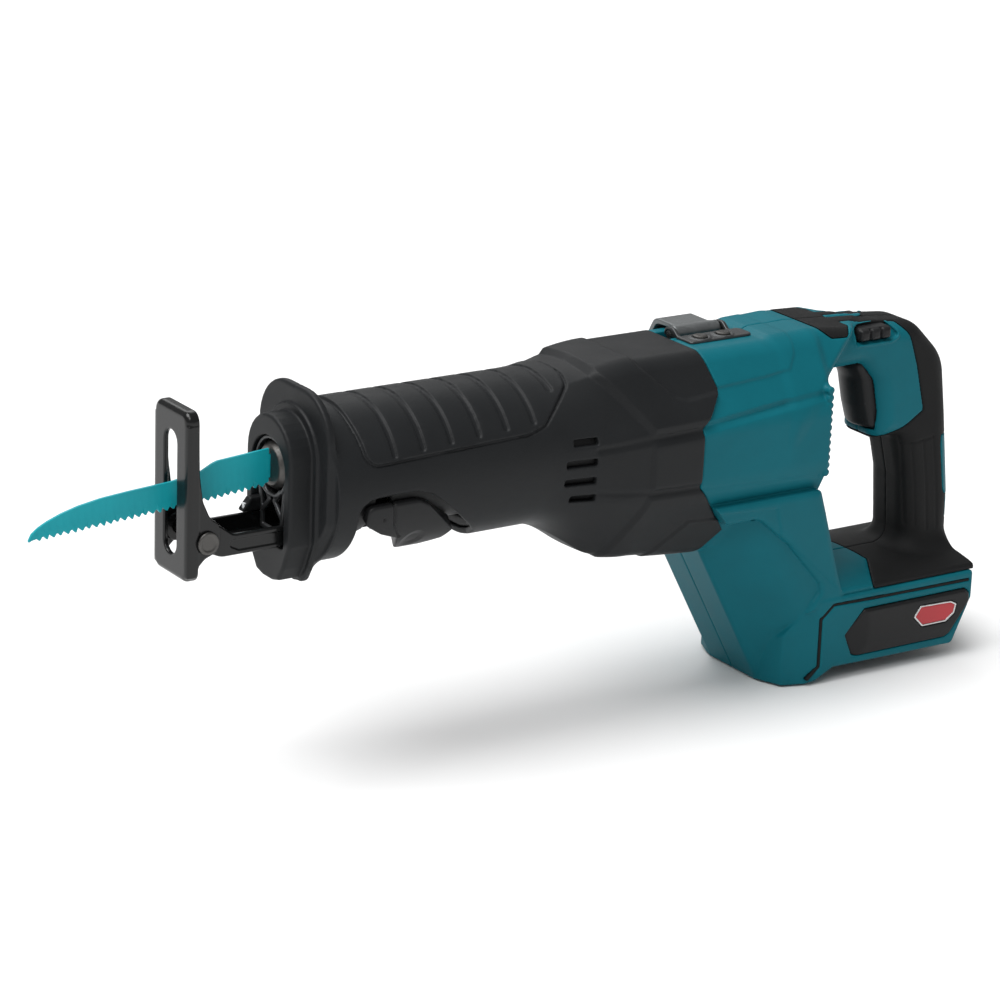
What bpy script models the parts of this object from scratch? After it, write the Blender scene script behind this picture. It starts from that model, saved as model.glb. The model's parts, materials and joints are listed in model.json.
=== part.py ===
"""Cordless reciprocating saw, modelled as separate pieces in Blender.

The datum frame is in millimetres: x = 0 is the front face of the shoe with +x to the rear handle,
y = 0 is the mid-plane with -y on the operator's left, and z = 0 lies between the stroke axis and
the barrel's centre line. Objects are built in metres, moved so that the origin is the middle of the
bounding box's bottom face.
"""

import math

import bmesh
import bpy
from mathutils import Matrix, Vector

# Driving dimensions, in millimetres.
MM = 0.001
GAP = 0.3  # clearance between neighbours that touch on the real tool

BLADE_TIP_X = -69.0
REAR_X = 443.0
BOTTOM_Z = -141.0
HALF_WIDTH = 42.0

STROKE = 32.0
STROKE_Z = 5.0  # height of the plunger's axis
CRANK_X = 148.5
CRANK_THROW = STROKE / 2
BALANCE_THROW = 12.5
MOTOR_Z = -14.0

BARREL_R = 36.5
BARREL_Z = -5.0
RUBBER = 3.2  # wall of the rubber boot
CAST_WALL = 3.5  # wall of the gear case's rear bell
FLARE_START_X = 178.0
FLARE_END_X = 232.0
FLARE_STATIONS = (178.0, 192.0, 205.0, 218.0, 232.0)
BOOT_REAR_X = 266.0
BODY_FRONT_X = 243.0
BODY_REAR_X = 338.0

ARM_HALF = 13.0  # outer faces of the shoe bracket's arms
ARM_PLATE = 2.2
SHOE_HALF = 15.5
SHOE_PLATE = 2.2
PIVOT = (10.3, -20.3)  # shoe pivot, x and z

LEVER_INNER_R = 36.3  # the blade clamp lever, measured from the stroke axis
LEVER_X = (82.0, 131.0)
LEVER_RECESS = (15.0, 108.0)  # degrees below the horizontal, about the stroke axis

HANDLE_HALF = 16.5
GRIP_SKIN = 3.0
BASE_HALF = 39.0
BASE_TOP_Z = -97.0
CROWN_X = 387.0  # seam between the shell and the rubber on top of the base
TRIGGER_HALF = 11.0
TRIGGER_REAR_X = 402.0
TRIGGER_TRAVEL = 6.0
LOCK_LOW = (373.0, 24.6)  # corners of the cross button, x and z
LOCK_HIGH = (393.0, 31.0)
PANEL_DEPTH = 2.6  # seat of the side panels

# Places shared by several pieces, x and z unless the name says otherwise.
SCREW_PLACES = ((346.0, 22.0), (402.0, 21.5), (431.0, -88.0), (325.0, -124.0), (335.0, -52.0),
                (298.0, -74.0))
LEG_SCREWS = (SCREW_PLACES[3], SCREW_PLACES[5])
HOOK_AXIS = (7.5, 35.2)  # y and z
HOOK_SCREW_X = (283.5, 297.0)
HOOK_SCREW_Y = -5.5
VENT_Z = (4.0, -5.0, -14.0, -23.0)
RELEASE_BUTTON = (103.0, -27.2)

GEAR_Z = (-9.2, -3.2)
GEAR_TEETH = 41
PINION_TEETH = 8

ORIGIN = Vector(((BLADE_TIP_X + REAR_X) / 2, 0.0, BOTTOM_Z))
ROUND = 20  # sides of a medium round piece

TEAL = ((0.02, 0.29, 0.34, 1.0), 0.42, 0.0)
RUBBER_BLACK = ((0.035, 0.038, 0.04, 1.0), 0.62, 0.0)
GLOSS_BLACK = ((0.012, 0.012, 0.013, 1.0), 0.22, 0.0)
PLASTIC_BLACK = ((0.02, 0.02, 0.022, 1.0), 0.5, 0.0)
CAST_METAL = ((0.55, 0.56, 0.57, 1.0), 0.45, 0.9)
BRIGHT_STEEL = ((0.62, 0.62, 0.62, 1.0), 0.28, 1.0)
DARK_STEEL = ((0.16, 0.16, 0.17, 1.0), 0.38, 1.0)
BLADE_PAINT = ((0.04, 0.42, 0.46, 1.0), 0.4, 0.0)
COPPER = ((0.7, 0.32, 0.16, 1.0), 0.35, 1.0)
BRONZE = ((0.55, 0.38, 0.18, 1.0), 0.4, 1.0)
CLEAR = ((0.85, 0.88, 0.9, 1.0), 0.1, 0.0)
BADGE_RED = ((0.5, 0.02, 0.02, 1.0), 0.3, 0.0)


# ---------------------------------------------------------------- helpers

def clear_scene():
    for old in list(bpy.data.objects):
        bpy.data.objects.remove(old, do_unlink=True)


def place(point):
    """Datum millimetres to metres in the model's frame."""
    return (Vector(point) - ORIGIN) * MM


def on_axes(axis, along, across, up):
    """A datum point from its place along an axis and its two coordinates across it, in x, y, z order."""
    return {
        "X": (along, across, up),
        "Y": (across, along, up),
        "Z": (across, up, along),
    }[axis]


def is_bent(face):
    """True for a four-sided face whose corners don't share a plane."""
    if len(face.verts) != 4:
        return False
    a, b, c, d = [vert.co for vert in face.verts]
    normal = (b - a).cross(c - a).normalized()
    return abs(normal.dot(d - a)) > 1e-6


def make(name, bm, look, pivot=None, angle=35.0):
    """Turn a bmesh into a named object with its own material, its origin at the pivot."""
    bmesh.ops.triangulate(bm, faces=[face for face in bm.faces if is_bent(face)])
    bmesh.ops.recalc_face_normals(bm, faces=bm.faces)
    mesh = bpy.data.meshes.new(name)
    bm.to_mesh(mesh)
    bm.free()
    mesh.shade_smooth()
    mesh.set_sharp_from_angle(angle=math.radians(angle))
    obj = bpy.data.objects.new(name, mesh)
    bpy.context.scene.collection.objects.link(obj)
    if pivot is not None:
        origin = place(pivot)
        mesh.transform(Matrix.Translation(-origin))
        obj.location = origin
    colour, roughness, metallic = look
    material = bpy.data.materials.new(name)
    material.use_nodes = True
    shader = material.node_tree.nodes["Principled BSDF"]
    shader.inputs["Base Color"].default_value = colour
    shader.inputs["Roughness"].default_value = roughness
    shader.inputs["Metallic"].default_value = metallic
    mesh.materials.append(material)
    return obj


def loft(rings):
    """A closed solid through rings of datum points, each with the same count."""
    bm = bmesh.new()
    rows = [[bm.verts.new(place(point)) for point in ring] for ring in rings]
    count = len(rows[0])
    for near, far in zip(rows, rows[1:]):
        for i in range(count):
            j = (i + 1) % count
            bm.faces.new((near[i], near[j], far[j], far[i]))
    bm.faces.new(rows[0])
    bm.faces.new(rows[-1])
    return bm


def fillet(corners, steps=3):
    """Round an outline's corners; a corner is (u, v) or (u, v, radius)."""
    outline = []
    count = len(corners)
    for i, corner in enumerate(corners):
        here = Vector(corner[:2])
        radius = corner[2] if len(corner) > 2 else 0.0
        if radius <= 0.0:
            outline.append(tuple(here))
            continue
        back = (Vector(corners[i - 1][:2]) - here).normalized()
        ahead = (Vector(corners[(i + 1) % count][:2]) - here).normalized()
        half = back.angle(ahead) / 2
        reach = radius / math.tan(half)
        centre = here + (back + ahead).normalized() * (radius / math.sin(half))
        start = here + back * reach - centre
        end = here + ahead * reach - centre
        turn = start.angle_signed(end)
        for step in range(steps + 1):
            spoke = start.copy()
            spoke.rotate(Matrix.Rotation(-turn * step / steps, 2))
            outline.append(tuple(centre + spoke))
    return outline


def prism(outline, axis, low, high):
    """An outline across an axis, extruded along it."""
    rings = [[on_axes(axis, along, u, v) for u, v in outline] for along in (low, high)]
    return loft(rings)


def block(low, high):
    (x0, y0, z0), (x1, y1, z1) = low, high
    return prism([(x0, z0), (x1, z0), (x1, z1), (x0, z1)], "Y", y0, y1)


def circle(centre, radius, sides=ROUND, start=0.0, sweep=360.0):
    """Points round a circle, or along an arc when the sweep is under a full turn."""
    full = abs(sweep) >= 360.0
    steps = sides if full else sides - 1
    points = []
    for i in range(sides):
        angle = math.radians(start + sweep * i / steps)
        points.append((centre[0] + radius * math.cos(angle), centre[1] + radius * math.sin(angle)))
    return points


def cylinder(axis, centre, radius, low, high, sides=ROUND):
    return prism(circle(centre, radius, sides), axis, low, high)


def turned(axis, centre, profile, sides=ROUND):
    """A solid of revolution; the profile is (place along the axis, radius) from end to end."""
    return loft([[on_axes(axis, along, u, v) for u, v in circle(centre, radius, sides)]
                 for along, radius in profile])


def ring(axis, centre, outer, inner, low, high, sides=ROUND):
    """A plain washer or tube."""
    bm = bmesh.new()
    rows = []
    for along, radius in ((low, outer), (high, outer), (high, inner), (low, inner)):
        points = [on_axes(axis, along, u, v) for u, v in circle(centre, radius, sides)]
        rows.append([bm.verts.new(place(point)) for point in points])
    for k in range(4):
        near, far = rows[k], rows[(k + 1) % 4]
        for i in range(sides):
            j = (i + 1) % sides
            bm.faces.new((near[i], near[j], far[j], far[i]))
    return bm


def sector(radius_in, radius_out, start, end, steps=6):
    """An annular sector about the stroke axis, below the horizontal on the left (-y) side."""
    def point(radius, degrees):
        angle = math.radians(degrees)
        return (-radius * math.cos(angle), STROKE_Z - radius * math.sin(angle))
    angles = [start + (end - start) * i / steps for i in range(steps + 1)]
    inner = [point(radius_in, a) for a in angles]
    outer = [point(radius_out, a) for a in reversed(angles)]
    return inner + outer


def shape(obj, bm, operation):
    """Apply one Boolean to an object and drop the tool."""
    tool = make("tool", bm, PLASTIC_BLACK)
    cut = obj.modifiers.new("cut", "BOOLEAN")
    cut.operation = operation
    cut.solver = "EXACT"
    cut.object = tool
    bpy.context.view_layer.update()
    evaluated = obj.evaluated_get(bpy.context.evaluated_depsgraph_get())
    result = bpy.data.meshes.new_from_object(evaluated)
    obj.modifiers.clear()
    old = obj.data
    material = old.materials[0]
    result.materials.clear()
    result.materials.append(material)
    obj.data = result
    result.name = obj.name
    bpy.data.meshes.remove(old)
    bpy.data.objects.remove(tool, do_unlink=True)
    result.shade_smooth()
    result.set_sharp_from_angle(angle=math.radians(35.0))


def cut(obj, *tools):
    for tool in tools:
        shape(obj, tool, "DIFFERENCE")


def join(obj, *tools):
    for tool in tools:
        shape(obj, tool, "UNION")


def taken(obj):
    """An object's mesh as a tool for another Boolean; the object goes."""
    bm = bmesh.new()
    bm.from_mesh(obj.data)
    bpy.data.objects.remove(obj, do_unlink=True)
    return bm


def screw(name, axis, centre, head, shank, look=DARK_STEEL):
    """A pan-head screw; head and shank are (start, end, radius) along the axis."""
    start, end, radius = head
    tip, tip_radius = shank
    dome = start + (end - start) * 0.35
    profile = [(start, radius * 0.7), (dome, radius), (end, radius), (end, tip_radius), (tip, tip_radius)]
    return make(name, turned(axis, centre, profile, 14), look)


# ---------------------------------------------------------------- shared body sections

def mirrored(half):
    """A section from its +y half, the corners in order on the +y side then the -y side."""
    return half + [(-y, z) for y, z in reversed(half)]


def body_corners():
    """The faceted section of the motor body, at its full size."""
    return mirrored([(23.0, 34.0), (HALF_WIDTH, 3.0), (HALF_WIDTH, -27.0), (22.0, -66.0)])


def reach_to(outline, centre, angle):
    """How far an outline lies from a centre in one direction."""
    direction = Vector((math.cos(angle), math.sin(angle)))
    for i, corner in enumerate(outline):
        a = Vector(outline[i - 1]) - centre
        edge = Vector(corner) - centre - a
        cross = direction.x * edge.y - direction.y * edge.x
        if abs(cross) < 1e-9:
            continue
        distance = (a.x * edge.y - a.y * edge.x) / cross
        share = (a.x * direction.y - a.y * direction.x) / cross
        if distance > 0.0 and -1e-6 <= share <= 1.000001:
            return distance
    raise ValueError("centre lies outside the outline")


def barrel_section(x, inset=0.0, sides=24):
    """A ring of the boot: round along the barrel and faceted past the flare."""
    blend = min(max((x - FLARE_START_X) / (FLARE_END_X - FLARE_START_X), 0.0), 1.0)
    blend = blend * blend * (3.0 - 2.0 * blend)
    centre = Vector((0.0, BARREL_Z - 6.0 * blend))
    outline = body_corners()
    points = []
    for i in range(sides):
        angle = math.tau * (i + 0.5) / sides
        reach = (1.0 - blend) * BARREL_R + blend * reach_to(outline, centre, angle) - inset
        points.append((x, centre.x + reach * math.cos(angle), centre.y + reach * math.sin(angle)))
    return points


def barrel_solid(low, high, inset=0.0):
    stations = [low] + [x for x in FLARE_STATIONS if low < x < high] + [high]
    return loft([barrel_section(x, inset) for x in stations])


def collar_outline(half, top_z, chin_z, shoulder_z):
    """Arch-topped outline of the nose collar, narrowing to the chin."""
    arch_z = top_z - half
    arch = circle((0.0, arch_z), half, 13, 0.0, 180.0)
    left = [(-half, shoulder_z), (-half * 0.62, chin_z + 6.0), (-half * 0.4, chin_z)]
    right = [(-y, z) for y, z in reversed(left)]
    return arch + left + right


# ---------------------------------------------------------------- housing

def leg_ring(z, inset=0.0):
    """Level section of the leg between the motor body and the base."""
    front = 283.6 + 0.546 * (-75.3 - z) + inset
    flare = front + 36.0
    rear = 338.5 + 0.36 * (-52.0 - z) - inset
    half = 35.0 - inset
    nose = 17.0 - inset
    return [(front, nose, z), (flare, half, z), (rear, half, z),
            (rear, -half, z), (flare, -half, z), (front, -nose, z)]


def handle_outline(grow=0.0):
    """Side outline of the D-handle's bar, from the motor body round to the base."""
    outer = [
        (330.0, 31.0 + grow, 0),
        (384.0, 30.0 + grow, 40),
        (412.0, 27.0 + grow, 20),
        (429.0 + grow, 10.0, 24),
        (433.5 + grow, -20.0, 40),
        (439.0 + grow, -62.0, 20),
        (REAR_X - GRIP_SKIN + grow, -100.0, 0),
    ]
    inner = [
        (417.0 - grow, -100.0, 0),
        (413.0 - grow, -52.0, 12),
        (407.0 - grow, -26.0 - grow, 4),
        (392.0 - grow, -26.0 - grow, 3),
        (392.5 - grow, -14.0, 8),
        (389.0 - grow, 2.0, 8),
        (381.0 - grow, 14.0 - grow, 5),
        (330.0, 13.0 - grow, 0),
    ]
    return fillet(outer + inner, 4)


def crown_section(low=BASE_TOP_Z + 0.4):
    """Low crown on top of the base, across the saw, from a level up."""
    half = BASE_HALF - 2.0
    return mirrored([(15.0, -89.5), (half, -94.0), (half, low)])


def base_solid():
    """The battery base, its front corners cut back to meet the leg."""
    side = fillet([(338.0, BASE_TOP_Z, 0), (440.0, BASE_TOP_Z, 3), (440.0, -118.0, 6), (430.0, -136.0, 5),
                   (350.0, -136.0, 0), (340.0, BOTTOM_Z, 0), (321.0, BOTTOM_Z, 0), (321.0, -120.0, 0)])
    edge = [(320.0, 24.0), (324.0, 33.0), (343.0, 40.0), (445.0, 40.0)]
    plan = edge + [(x, -y) for x, y in reversed(edge)]
    base = make("base", prism(side, "Y", -BASE_HALF, BASE_HALF), TEAL)
    shape(base, prism(plan, "Z", BOTTOM_Z - 5.0, BASE_TOP_Z + 5.0), "INTERSECT")
    return taken(base)


def boot_lap():
    """What the rubber boot's skirt takes off the front of the shell."""
    rear = BOOT_REAR_X + GAP
    lap = make("lap", cylinder("X", (0.0, MOTOR_Z), 90.0, BODY_FRONT_X - 2.0, rear, 12), TEAL)
    shape(lap, barrel_solid(BODY_FRONT_X, rear, RUBBER + GAP), "DIFFERENCE")
    return taken(lap)


def trigger_window(grow=GAP + 0.1):
    """Opening that the trigger moves in."""
    wide = TRIGGER_HALF + grow
    return block((364.0, -wide, -24.2), (TRIGGER_REAR_X + TRIGGER_TRAVEL + 0.6, wide, 16.4))


def lock_hole():
    (x0, z0), (x1, z1) = LOCK_LOW, LOCK_HIGH
    return block((x0 - 0.5, -30.0, z0 - 0.4), (x1 + 0.5, 30.0, z1 + 0.4))


def other_half(side):
    """Everything beyond the mid-plane, less half the gap."""
    return block((200.0, side * 0.15, -200.0), (500.0, -side * 80.0, 100.0))


def body_solid(grow=0.0):
    """The motor body behind the boot."""
    scale = 1.0 + grow / HALF_WIDTH
    rings = []
    for x in (BODY_FRONT_X, BODY_REAR_X + grow):
        rings.append([(x, y * scale, MOTOR_Z + (z - MOTOR_Z) * scale) for y, z in body_corners()])
    return loft(rings)


def make_housing():
    """Two clamshell halves that meet on the mid-plane."""
    core = HANDLE_HALF - GRIP_SKIN - GAP
    for name, side in (("housing_left", -1.0), ("housing_right", 1.0)):
        half = make(name, body_solid(), TEAL)
        join(
            half,
            loft([leg_ring(-52.0), leg_ring(-122.0), leg_ring(-140.0)]),
            prism(handle_outline(), "Y", -core, core),
            base_solid(),
            prism(crown_section(BASE_TOP_Z - 3.0), "X", 340.0, CROWN_X - GAP),
        )
        cut(
            half,
            boot_lap(),
            # Motor, its rear bearing, and the controller in the leg.
            cylinder("X", (0.0, MOTOR_Z), 30.6, BODY_FRONT_X - 1.0, 276.0, 32),
            cylinder("X", (0.0, MOTOR_Z), 11.3, 275.0, 286.0, 24),
            loft([leg_ring(-62.0, 4.0), leg_ring(-133.0, 4.0)]),
            block((300.0, -16.0, -66.0), (330.0, 16.0, 20.0)),
            # Battery bay, and the way from it to the leg.
            block((352.0, -34.0, -114.0), (445.0, 34.0, -142.0)),
            block((344.0, -30.0, -114.0), (353.0, 30.0, -101.0)),
            # Trigger, switch chamber, cross button and wire duct.
            trigger_window(),
            block((TRIGGER_REAR_X + TRIGGER_TRAVEL + 0.5, -9.6, -20.0), (424.5, 9.6, 12.0)),
            lock_hole(),
            prism([(411.5, -19.0), (420.0, -19.0), (427.5, -102.0), (419.5, -102.0)], "Y", -8.0, 8.0),
            block((419.0, -8.0, -115.0), (428.0, 8.0, -101.0)),
            # Hook recess in the top face.
            block((265.0, 3.0, 30.6), (307.0, 14.0, 50.0)),
            # Seats of the side panels.
            prism(panel_outline(GAP), "Y", -60.0, -BASE_HALF + PANEL_DEPTH),
            prism(panel_outline(GAP), "Y", BASE_HALF - PANEL_DEPTH, 60.0),
            other_half(side),
        )
        low, high = sorted((side * 0.15, side * 20.0))
        join(half, *[cylinder("Y", spot, 6.5, low, high, 12) for spot in LEG_SCREWS])
        if side > 0.0:
            for spot in SCREW_PLACES:
                cut(half, cylinder("Y", spot, 4.2, 9.0, 60.0, 14), cylinder("Y", spot, 2.0, -1.0, 60.0, 14))
        else:
            for spot in SCREW_PLACES:
                cut(half, cylinder("Y", spot, 2.0, -9.0, 1.0, 14))
        for x in HOOK_SCREW_X:
            cut(half, cylinder("Z", (x, HOOK_SCREW_Y), 2.0, 22.0, 60.0, 14))


def panel_outline(grow=0.0):
    return [
        (359.0 - grow, -118.5),
        (370.0 - grow, -106.5 + grow),
        (434.5 + grow, -106.5 + grow),
        (438.0 + grow, -110.0),
        (438.0 + grow, -113.5),
        (425.0, -131.5 - grow),
        (366.0 - grow, -131.5 - grow),
    ]


def make_housing_trim():
    """Side panels with their badges, and the screws that hold the halves together."""
    for name, side in (("left", -1.0), ("right", 1.0)):
        inner, outer = sorted((side * (BASE_HALF - 2.3), side * (BASE_HALF + 1.0)))
        panel = make("side_panel_" + name, prism(panel_outline(), "Y", inner, outer), PLASTIC_BLACK)
        badge = [(402.5, -117.0), (406.5, -112.0), (428.0, -112.0), (431.0, -117.0),
                 (427.0, -122.0), (406.0, -122.0)]
        seat = sorted((side * (BASE_HALF + 0.2), side * 60.0))
        grown = [(x + (0.3 if x > 417.0 else -0.3), z + (0.3 if z > -117.0 else -0.3)) for x, z in badge]
        cut(panel, prism(grown, "Y", *seat))
        faces = sorted((side * (BASE_HALF + 0.5), side * (BASE_HALF + 1.4)))
        make("badge_" + name, prism(badge, "Y", *faces), BADGE_RED)
    for number, (x, z) in enumerate(SCREW_PLACES, 1):
        screw("housing_screw_%d" % number, "Y", (x, z), (12.2, 9.3, 3.8), (-7.0, 1.6))


def make_grips():
    """Rubber overmould on each half: round the handle's bar and over the top of the base."""
    core = HANDLE_HALF - GRIP_SKIN
    # The teal shell shows through beside the trigger.
    window = fillet([(342.0, 24.0, 2), (344.0, -32.0, 2), (392.0, -32.0, 2), (417.0, -15.5, 3),
                     (411.5, 8.0, 8), (403.0, 26.0, 8)])
    for name, side in (("grip_left", -1.0), ("grip_right", 1.0)):
        grip = make(name, prism(handle_outline(GRIP_SKIN), "Y", -HANDLE_HALF, HANDLE_HALF), RUBBER_BLACK)
        join(grip, prism(crown_section(), "X", CROWN_X, 440.0))
        cut(
            grip,
            prism(handle_outline(GAP), "Y", -core, core),
            body_solid(GAP),
            block((300.0, -60.0, -200.0), (500.0, 60.0, BASE_TOP_Z + 0.4)),
            trigger_window(),
            lock_hole(),
            prism(window, "Y", *sorted((side * (core - 0.5), side * 60.0))),
            other_half(side),
        )
        if side > 0.0:
            for spot in SCREW_PLACES:
                cut(grip, cylinder("Y", spot, 4.2, 9.0, 60.0, 14))


# ---------------------------------------------------------------- boot and gear case

def make_boot():
    """Rubber boot: collar and flange at the nose, round barrel, faceted flare at the rear."""
    boot = make("front_boot", barrel_solid(65.0, BOOT_REAR_X), RUBBER_BLACK)
    join(
        boot,
        prism(collar_outline(31.0, 41.0, -50.0, -11.0), "X", 61.5, 67.0),
        prism(collar_outline(19.5, 29.0, -48.0, -28.0), "X", 49.5, 63.0),
    )
    cut(
        boot,
        barrel_solid(70.0, BOOT_REAR_X + 2.0, RUBBER),
        cylinder("X", (0.0, 4.5), 16.0, 52.0, 71.0, 24),
        cylinder("X", (0.0, 4.5), 14.5, 48.0, 53.0, 24),
        block((48.0, -14.2, -30.5), (71.0, 14.2, -3.0)),
        prism(sector(30.0, 60.0, *LEVER_RECESS), "X", 76.5, 138.0),
        cylinder("Y", RELEASE_BUTTON, 4.4, 10.0, 60.0, 20),
        *[block((186.0, -60.0, z - 1.4), (203.0, 60.0, z + 1.4)) for z in VENT_Z],
    )


def make_gear_case():
    """Cast case: nose tube, plunger bore, crank chamber and the bell round the motor."""
    case = make("gear_case", barrel_solid(70.3, 240.0, RUBBER + GAP), CAST_METAL)
    join(
        case,
        cylinder("X", (0.0, STROKE_Z - 0.5), 15.6, 53.4, 75.0, 24),
        block((53.4, -10.2, -26.9), (75.0, 10.2, 4.0)),
    )
    wide = ARM_HALF + GAP
    channel = [(-wide, -29.8), (wide, -29.8), (wide, -19.2), (10.5, -19.2), (10.5, -27.2), (-10.5, -27.2),
               (-10.5, -19.2), (-wide, -19.2)]
    chamber = circle((0.0, -3.0), 27.2, 22, -50.0, 280.0)
    bell = [barrel_section(x, RUBBER + GAP + CAST_WALL) for x in (187.0,) + FLARE_STATIONS[1:] + (241.0,)]
    cut(
        case,
        cylinder("X", (0.0, STROKE_Z), 12.4, 50.0, 97.0, 24),
        cylinder("X", (0.0, STROKE_Z), 13.3, 91.7, 115.0, 24),
        cylinder("X", (0.0, STROKE_Z), 18.2, 84.7, 95.4, 24),
        prism(chamber, "X", 114.0, 177.0),
        cylinder("X", (0.0, MOTOR_Z), 11.3, 176.0, 188.0, 24),
        loft(bell),
        # Channels of the shoe bracket: its two arms, its web and its tongue.
        prism(channel, "X", 50.0, 75.5),
        block((49.0, -7.3, -30.0), (113.0, 7.3, -24.4)),
        # Recess and slot of the blade clamp lever.
        prism(sector(LEVER_INNER_R - 0.4, 60.0, *LEVER_RECESS), "X", 76.5, 138.0),
        prism(sector(17.0, 40.0, 22.0, 80.0), "X", 86.2, 94.2),
        # Flat and opening under the cover.
        block((113.7, -16.3, 19.7), (182.3, 16.3, 50.0)),
        block((118.0, -12.0, 5.0), (172.0, 12.0, 30.0)),
        # Cooling air outlets, in line with the boot's.
        *[block((189.0, -60.0, z - 1.3), (203.0, 60.0, z + 1.3)) for z in VENT_Z],
        cylinder("Z", (CRANK_X, 0.0), 4.3, -34.0, -20.0, 20),
        cylinder("Y", RELEASE_BUTTON, 2.3, 5.0, 14.0, 16),
        cylinder("Y", RELEASE_BUTTON, 4.3, 12.4, 60.0, 16),
    )
    cover = make("gear_case_cover", block((114.0, -16.0, 20.0), (182.0, 16.0, 22.6)), CAST_METAL)
    for x in (116.4, 179.6):
        cut(cover, *[cylinder("Z", (x, y), 1.2, 10.0, 30.0, 12) for y in (-13.0, 13.0)])
    guide = [(119.3, -22.3), (176.7, -22.3), (176.7, 22.3), (119.3, 22.3), (119.3, 8.2), (154.0, 8.2),
             (154.0, -8.2), (119.3, -8.2)]
    make("guide_plate", prism(guide, "Z", 9.9, 11.9), BRONZE)
    button = [(9.4, 2.0), (15.4, 2.0), (15.4, 3.9), (31.0, 3.9), (32.0, 3.2)]
    make("shoe_release_button", turned("Y", RELEASE_BUTTON, button, 20), PLASTIC_BLACK,
         pivot=(RELEASE_BUTTON[0], 20.0, RELEASE_BUTTON[1]))


def make_bushes():
    """Bush and dust seal that the plunger runs in."""
    make("plunger_bush", ring("X", (0.0, STROKE_Z), 13.0, 7.8, 97.3, 119.0), BRONZE)
    make("dust_seal", ring("X", (0.0, STROKE_Z), 13.0, 7.8, 95.7, 97.0), RUBBER_BLACK)


# ---------------------------------------------------------------- drive

def toothed(centre, tip, root, teeth):
    """Outline of a toothed wheel, its teeth stopping short of the pitch line."""
    outline = []
    for i in range(teeth * 4):
        radius = tip if i % 4 < 2 else root
        angle = math.tau * (i - 0.5) / (teeth * 4)
        outline.append((centre[0] + radius * math.cos(angle), centre[1] + radius * math.sin(angle)))
    return outline


def make_crank():
    """Gear with its bearing and axle, the crank pin with its roller, and the balance pin."""
    hub = (CRANK_X, 0.0)
    pivot = (CRANK_X, 0.0, -6.0)
    crank_pin = (CRANK_X, -CRANK_THROW)
    balance_pin = (CRANK_X, BALANCE_THROW)
    gear = make("crank_gear", prism(toothed(hub, 25.0, 23.4, GEAR_TEETH), "Z", *GEAR_Z), DARK_STEEL, pivot)
    cut(
        gear,
        cylinder("Z", hub, 8.3, -12.0, 2.0),
        cylinder("Z", crank_pin, 3.4, -12.0, 2.0, 20),
        cylinder("Z", balance_pin, 2.3, -12.0, 2.0, 16),
    )
    make("crank_bearing", ring("Z", hub, 8.0, 4.3, -9.0, -3.4), BRIGHT_STEEL, pivot)
    make("crank_axle", turned("Z", hub, [(-32.0, 4.0), (-3.0, 4.0), (-2.8, 3.6)], 20), BRIGHT_STEEL)
    make("crank_pin", turned("Z", crank_pin, [(-9.2, 3.1), (9.0, 3.1)], 20), BRIGHT_STEEL, pivot)
    make("crank_roller", ring("Z", crank_pin, 5.0, 3.4, 0.8, 9.0, 20), DARK_STEEL, pivot)
    make("balance_pin", turned("Z", balance_pin, [(-16.0, 2.0), (-3.2, 2.0)], 16), BRIGHT_STEEL, pivot)


def make_counterweight():
    """Plate that runs opposite to the plunger; its window clears the crank axle."""
    outline = [(-21.0, -20.0), (12.0, -20.0), (12.0, -6.5), (5.0, -6.5), (5.0, -15.0), (-5.0, -15.0),
               (-5.0, -4.7), (-17.0, -4.7), (-17.0, 4.7), (-5.0, 4.7), (-5.0, 15.0), (5.0, 15.0),
               (5.0, 6.5), (12.0, 6.5), (12.0, 20.0), (-21.0, 20.0)]
    make("counterweight", prism([(CRANK_X + x, y) for x, y in outline], "Z", -16.2, -9.8), CAST_METAL,
         (CRANK_X, 0.0, -13.0))


def make_plunger():
    """Plunger with its yoke; the yoke's cross slot takes the crank roller."""
    pivot = (CRANK_X, 0.0, STROKE_Z)
    slot = 8.7
    yoke_half = slot + 3.2
    rod = turned("X", (0.0, STROKE_Z), [(75.3, 7.5), (134.0, 7.5)], 28)
    plunger = make("plunger", rod, BRIGHT_STEEL, pivot)
    join(plunger, block((130.0, -6.0, 0.8), (CRANK_X - yoke_half - GAP, 6.0, 9.2)))
    yoke = make("plunger_yoke", block((CRANK_X - yoke_half, -23.8, 0.5), (CRANK_X + yoke_half, 23.8, 9.5)),
                DARK_STEEL, pivot)
    cut(yoke, block((CRANK_X - slot, -21.4, -5.0), (CRANK_X + slot, 21.4, 15.0)))


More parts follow.
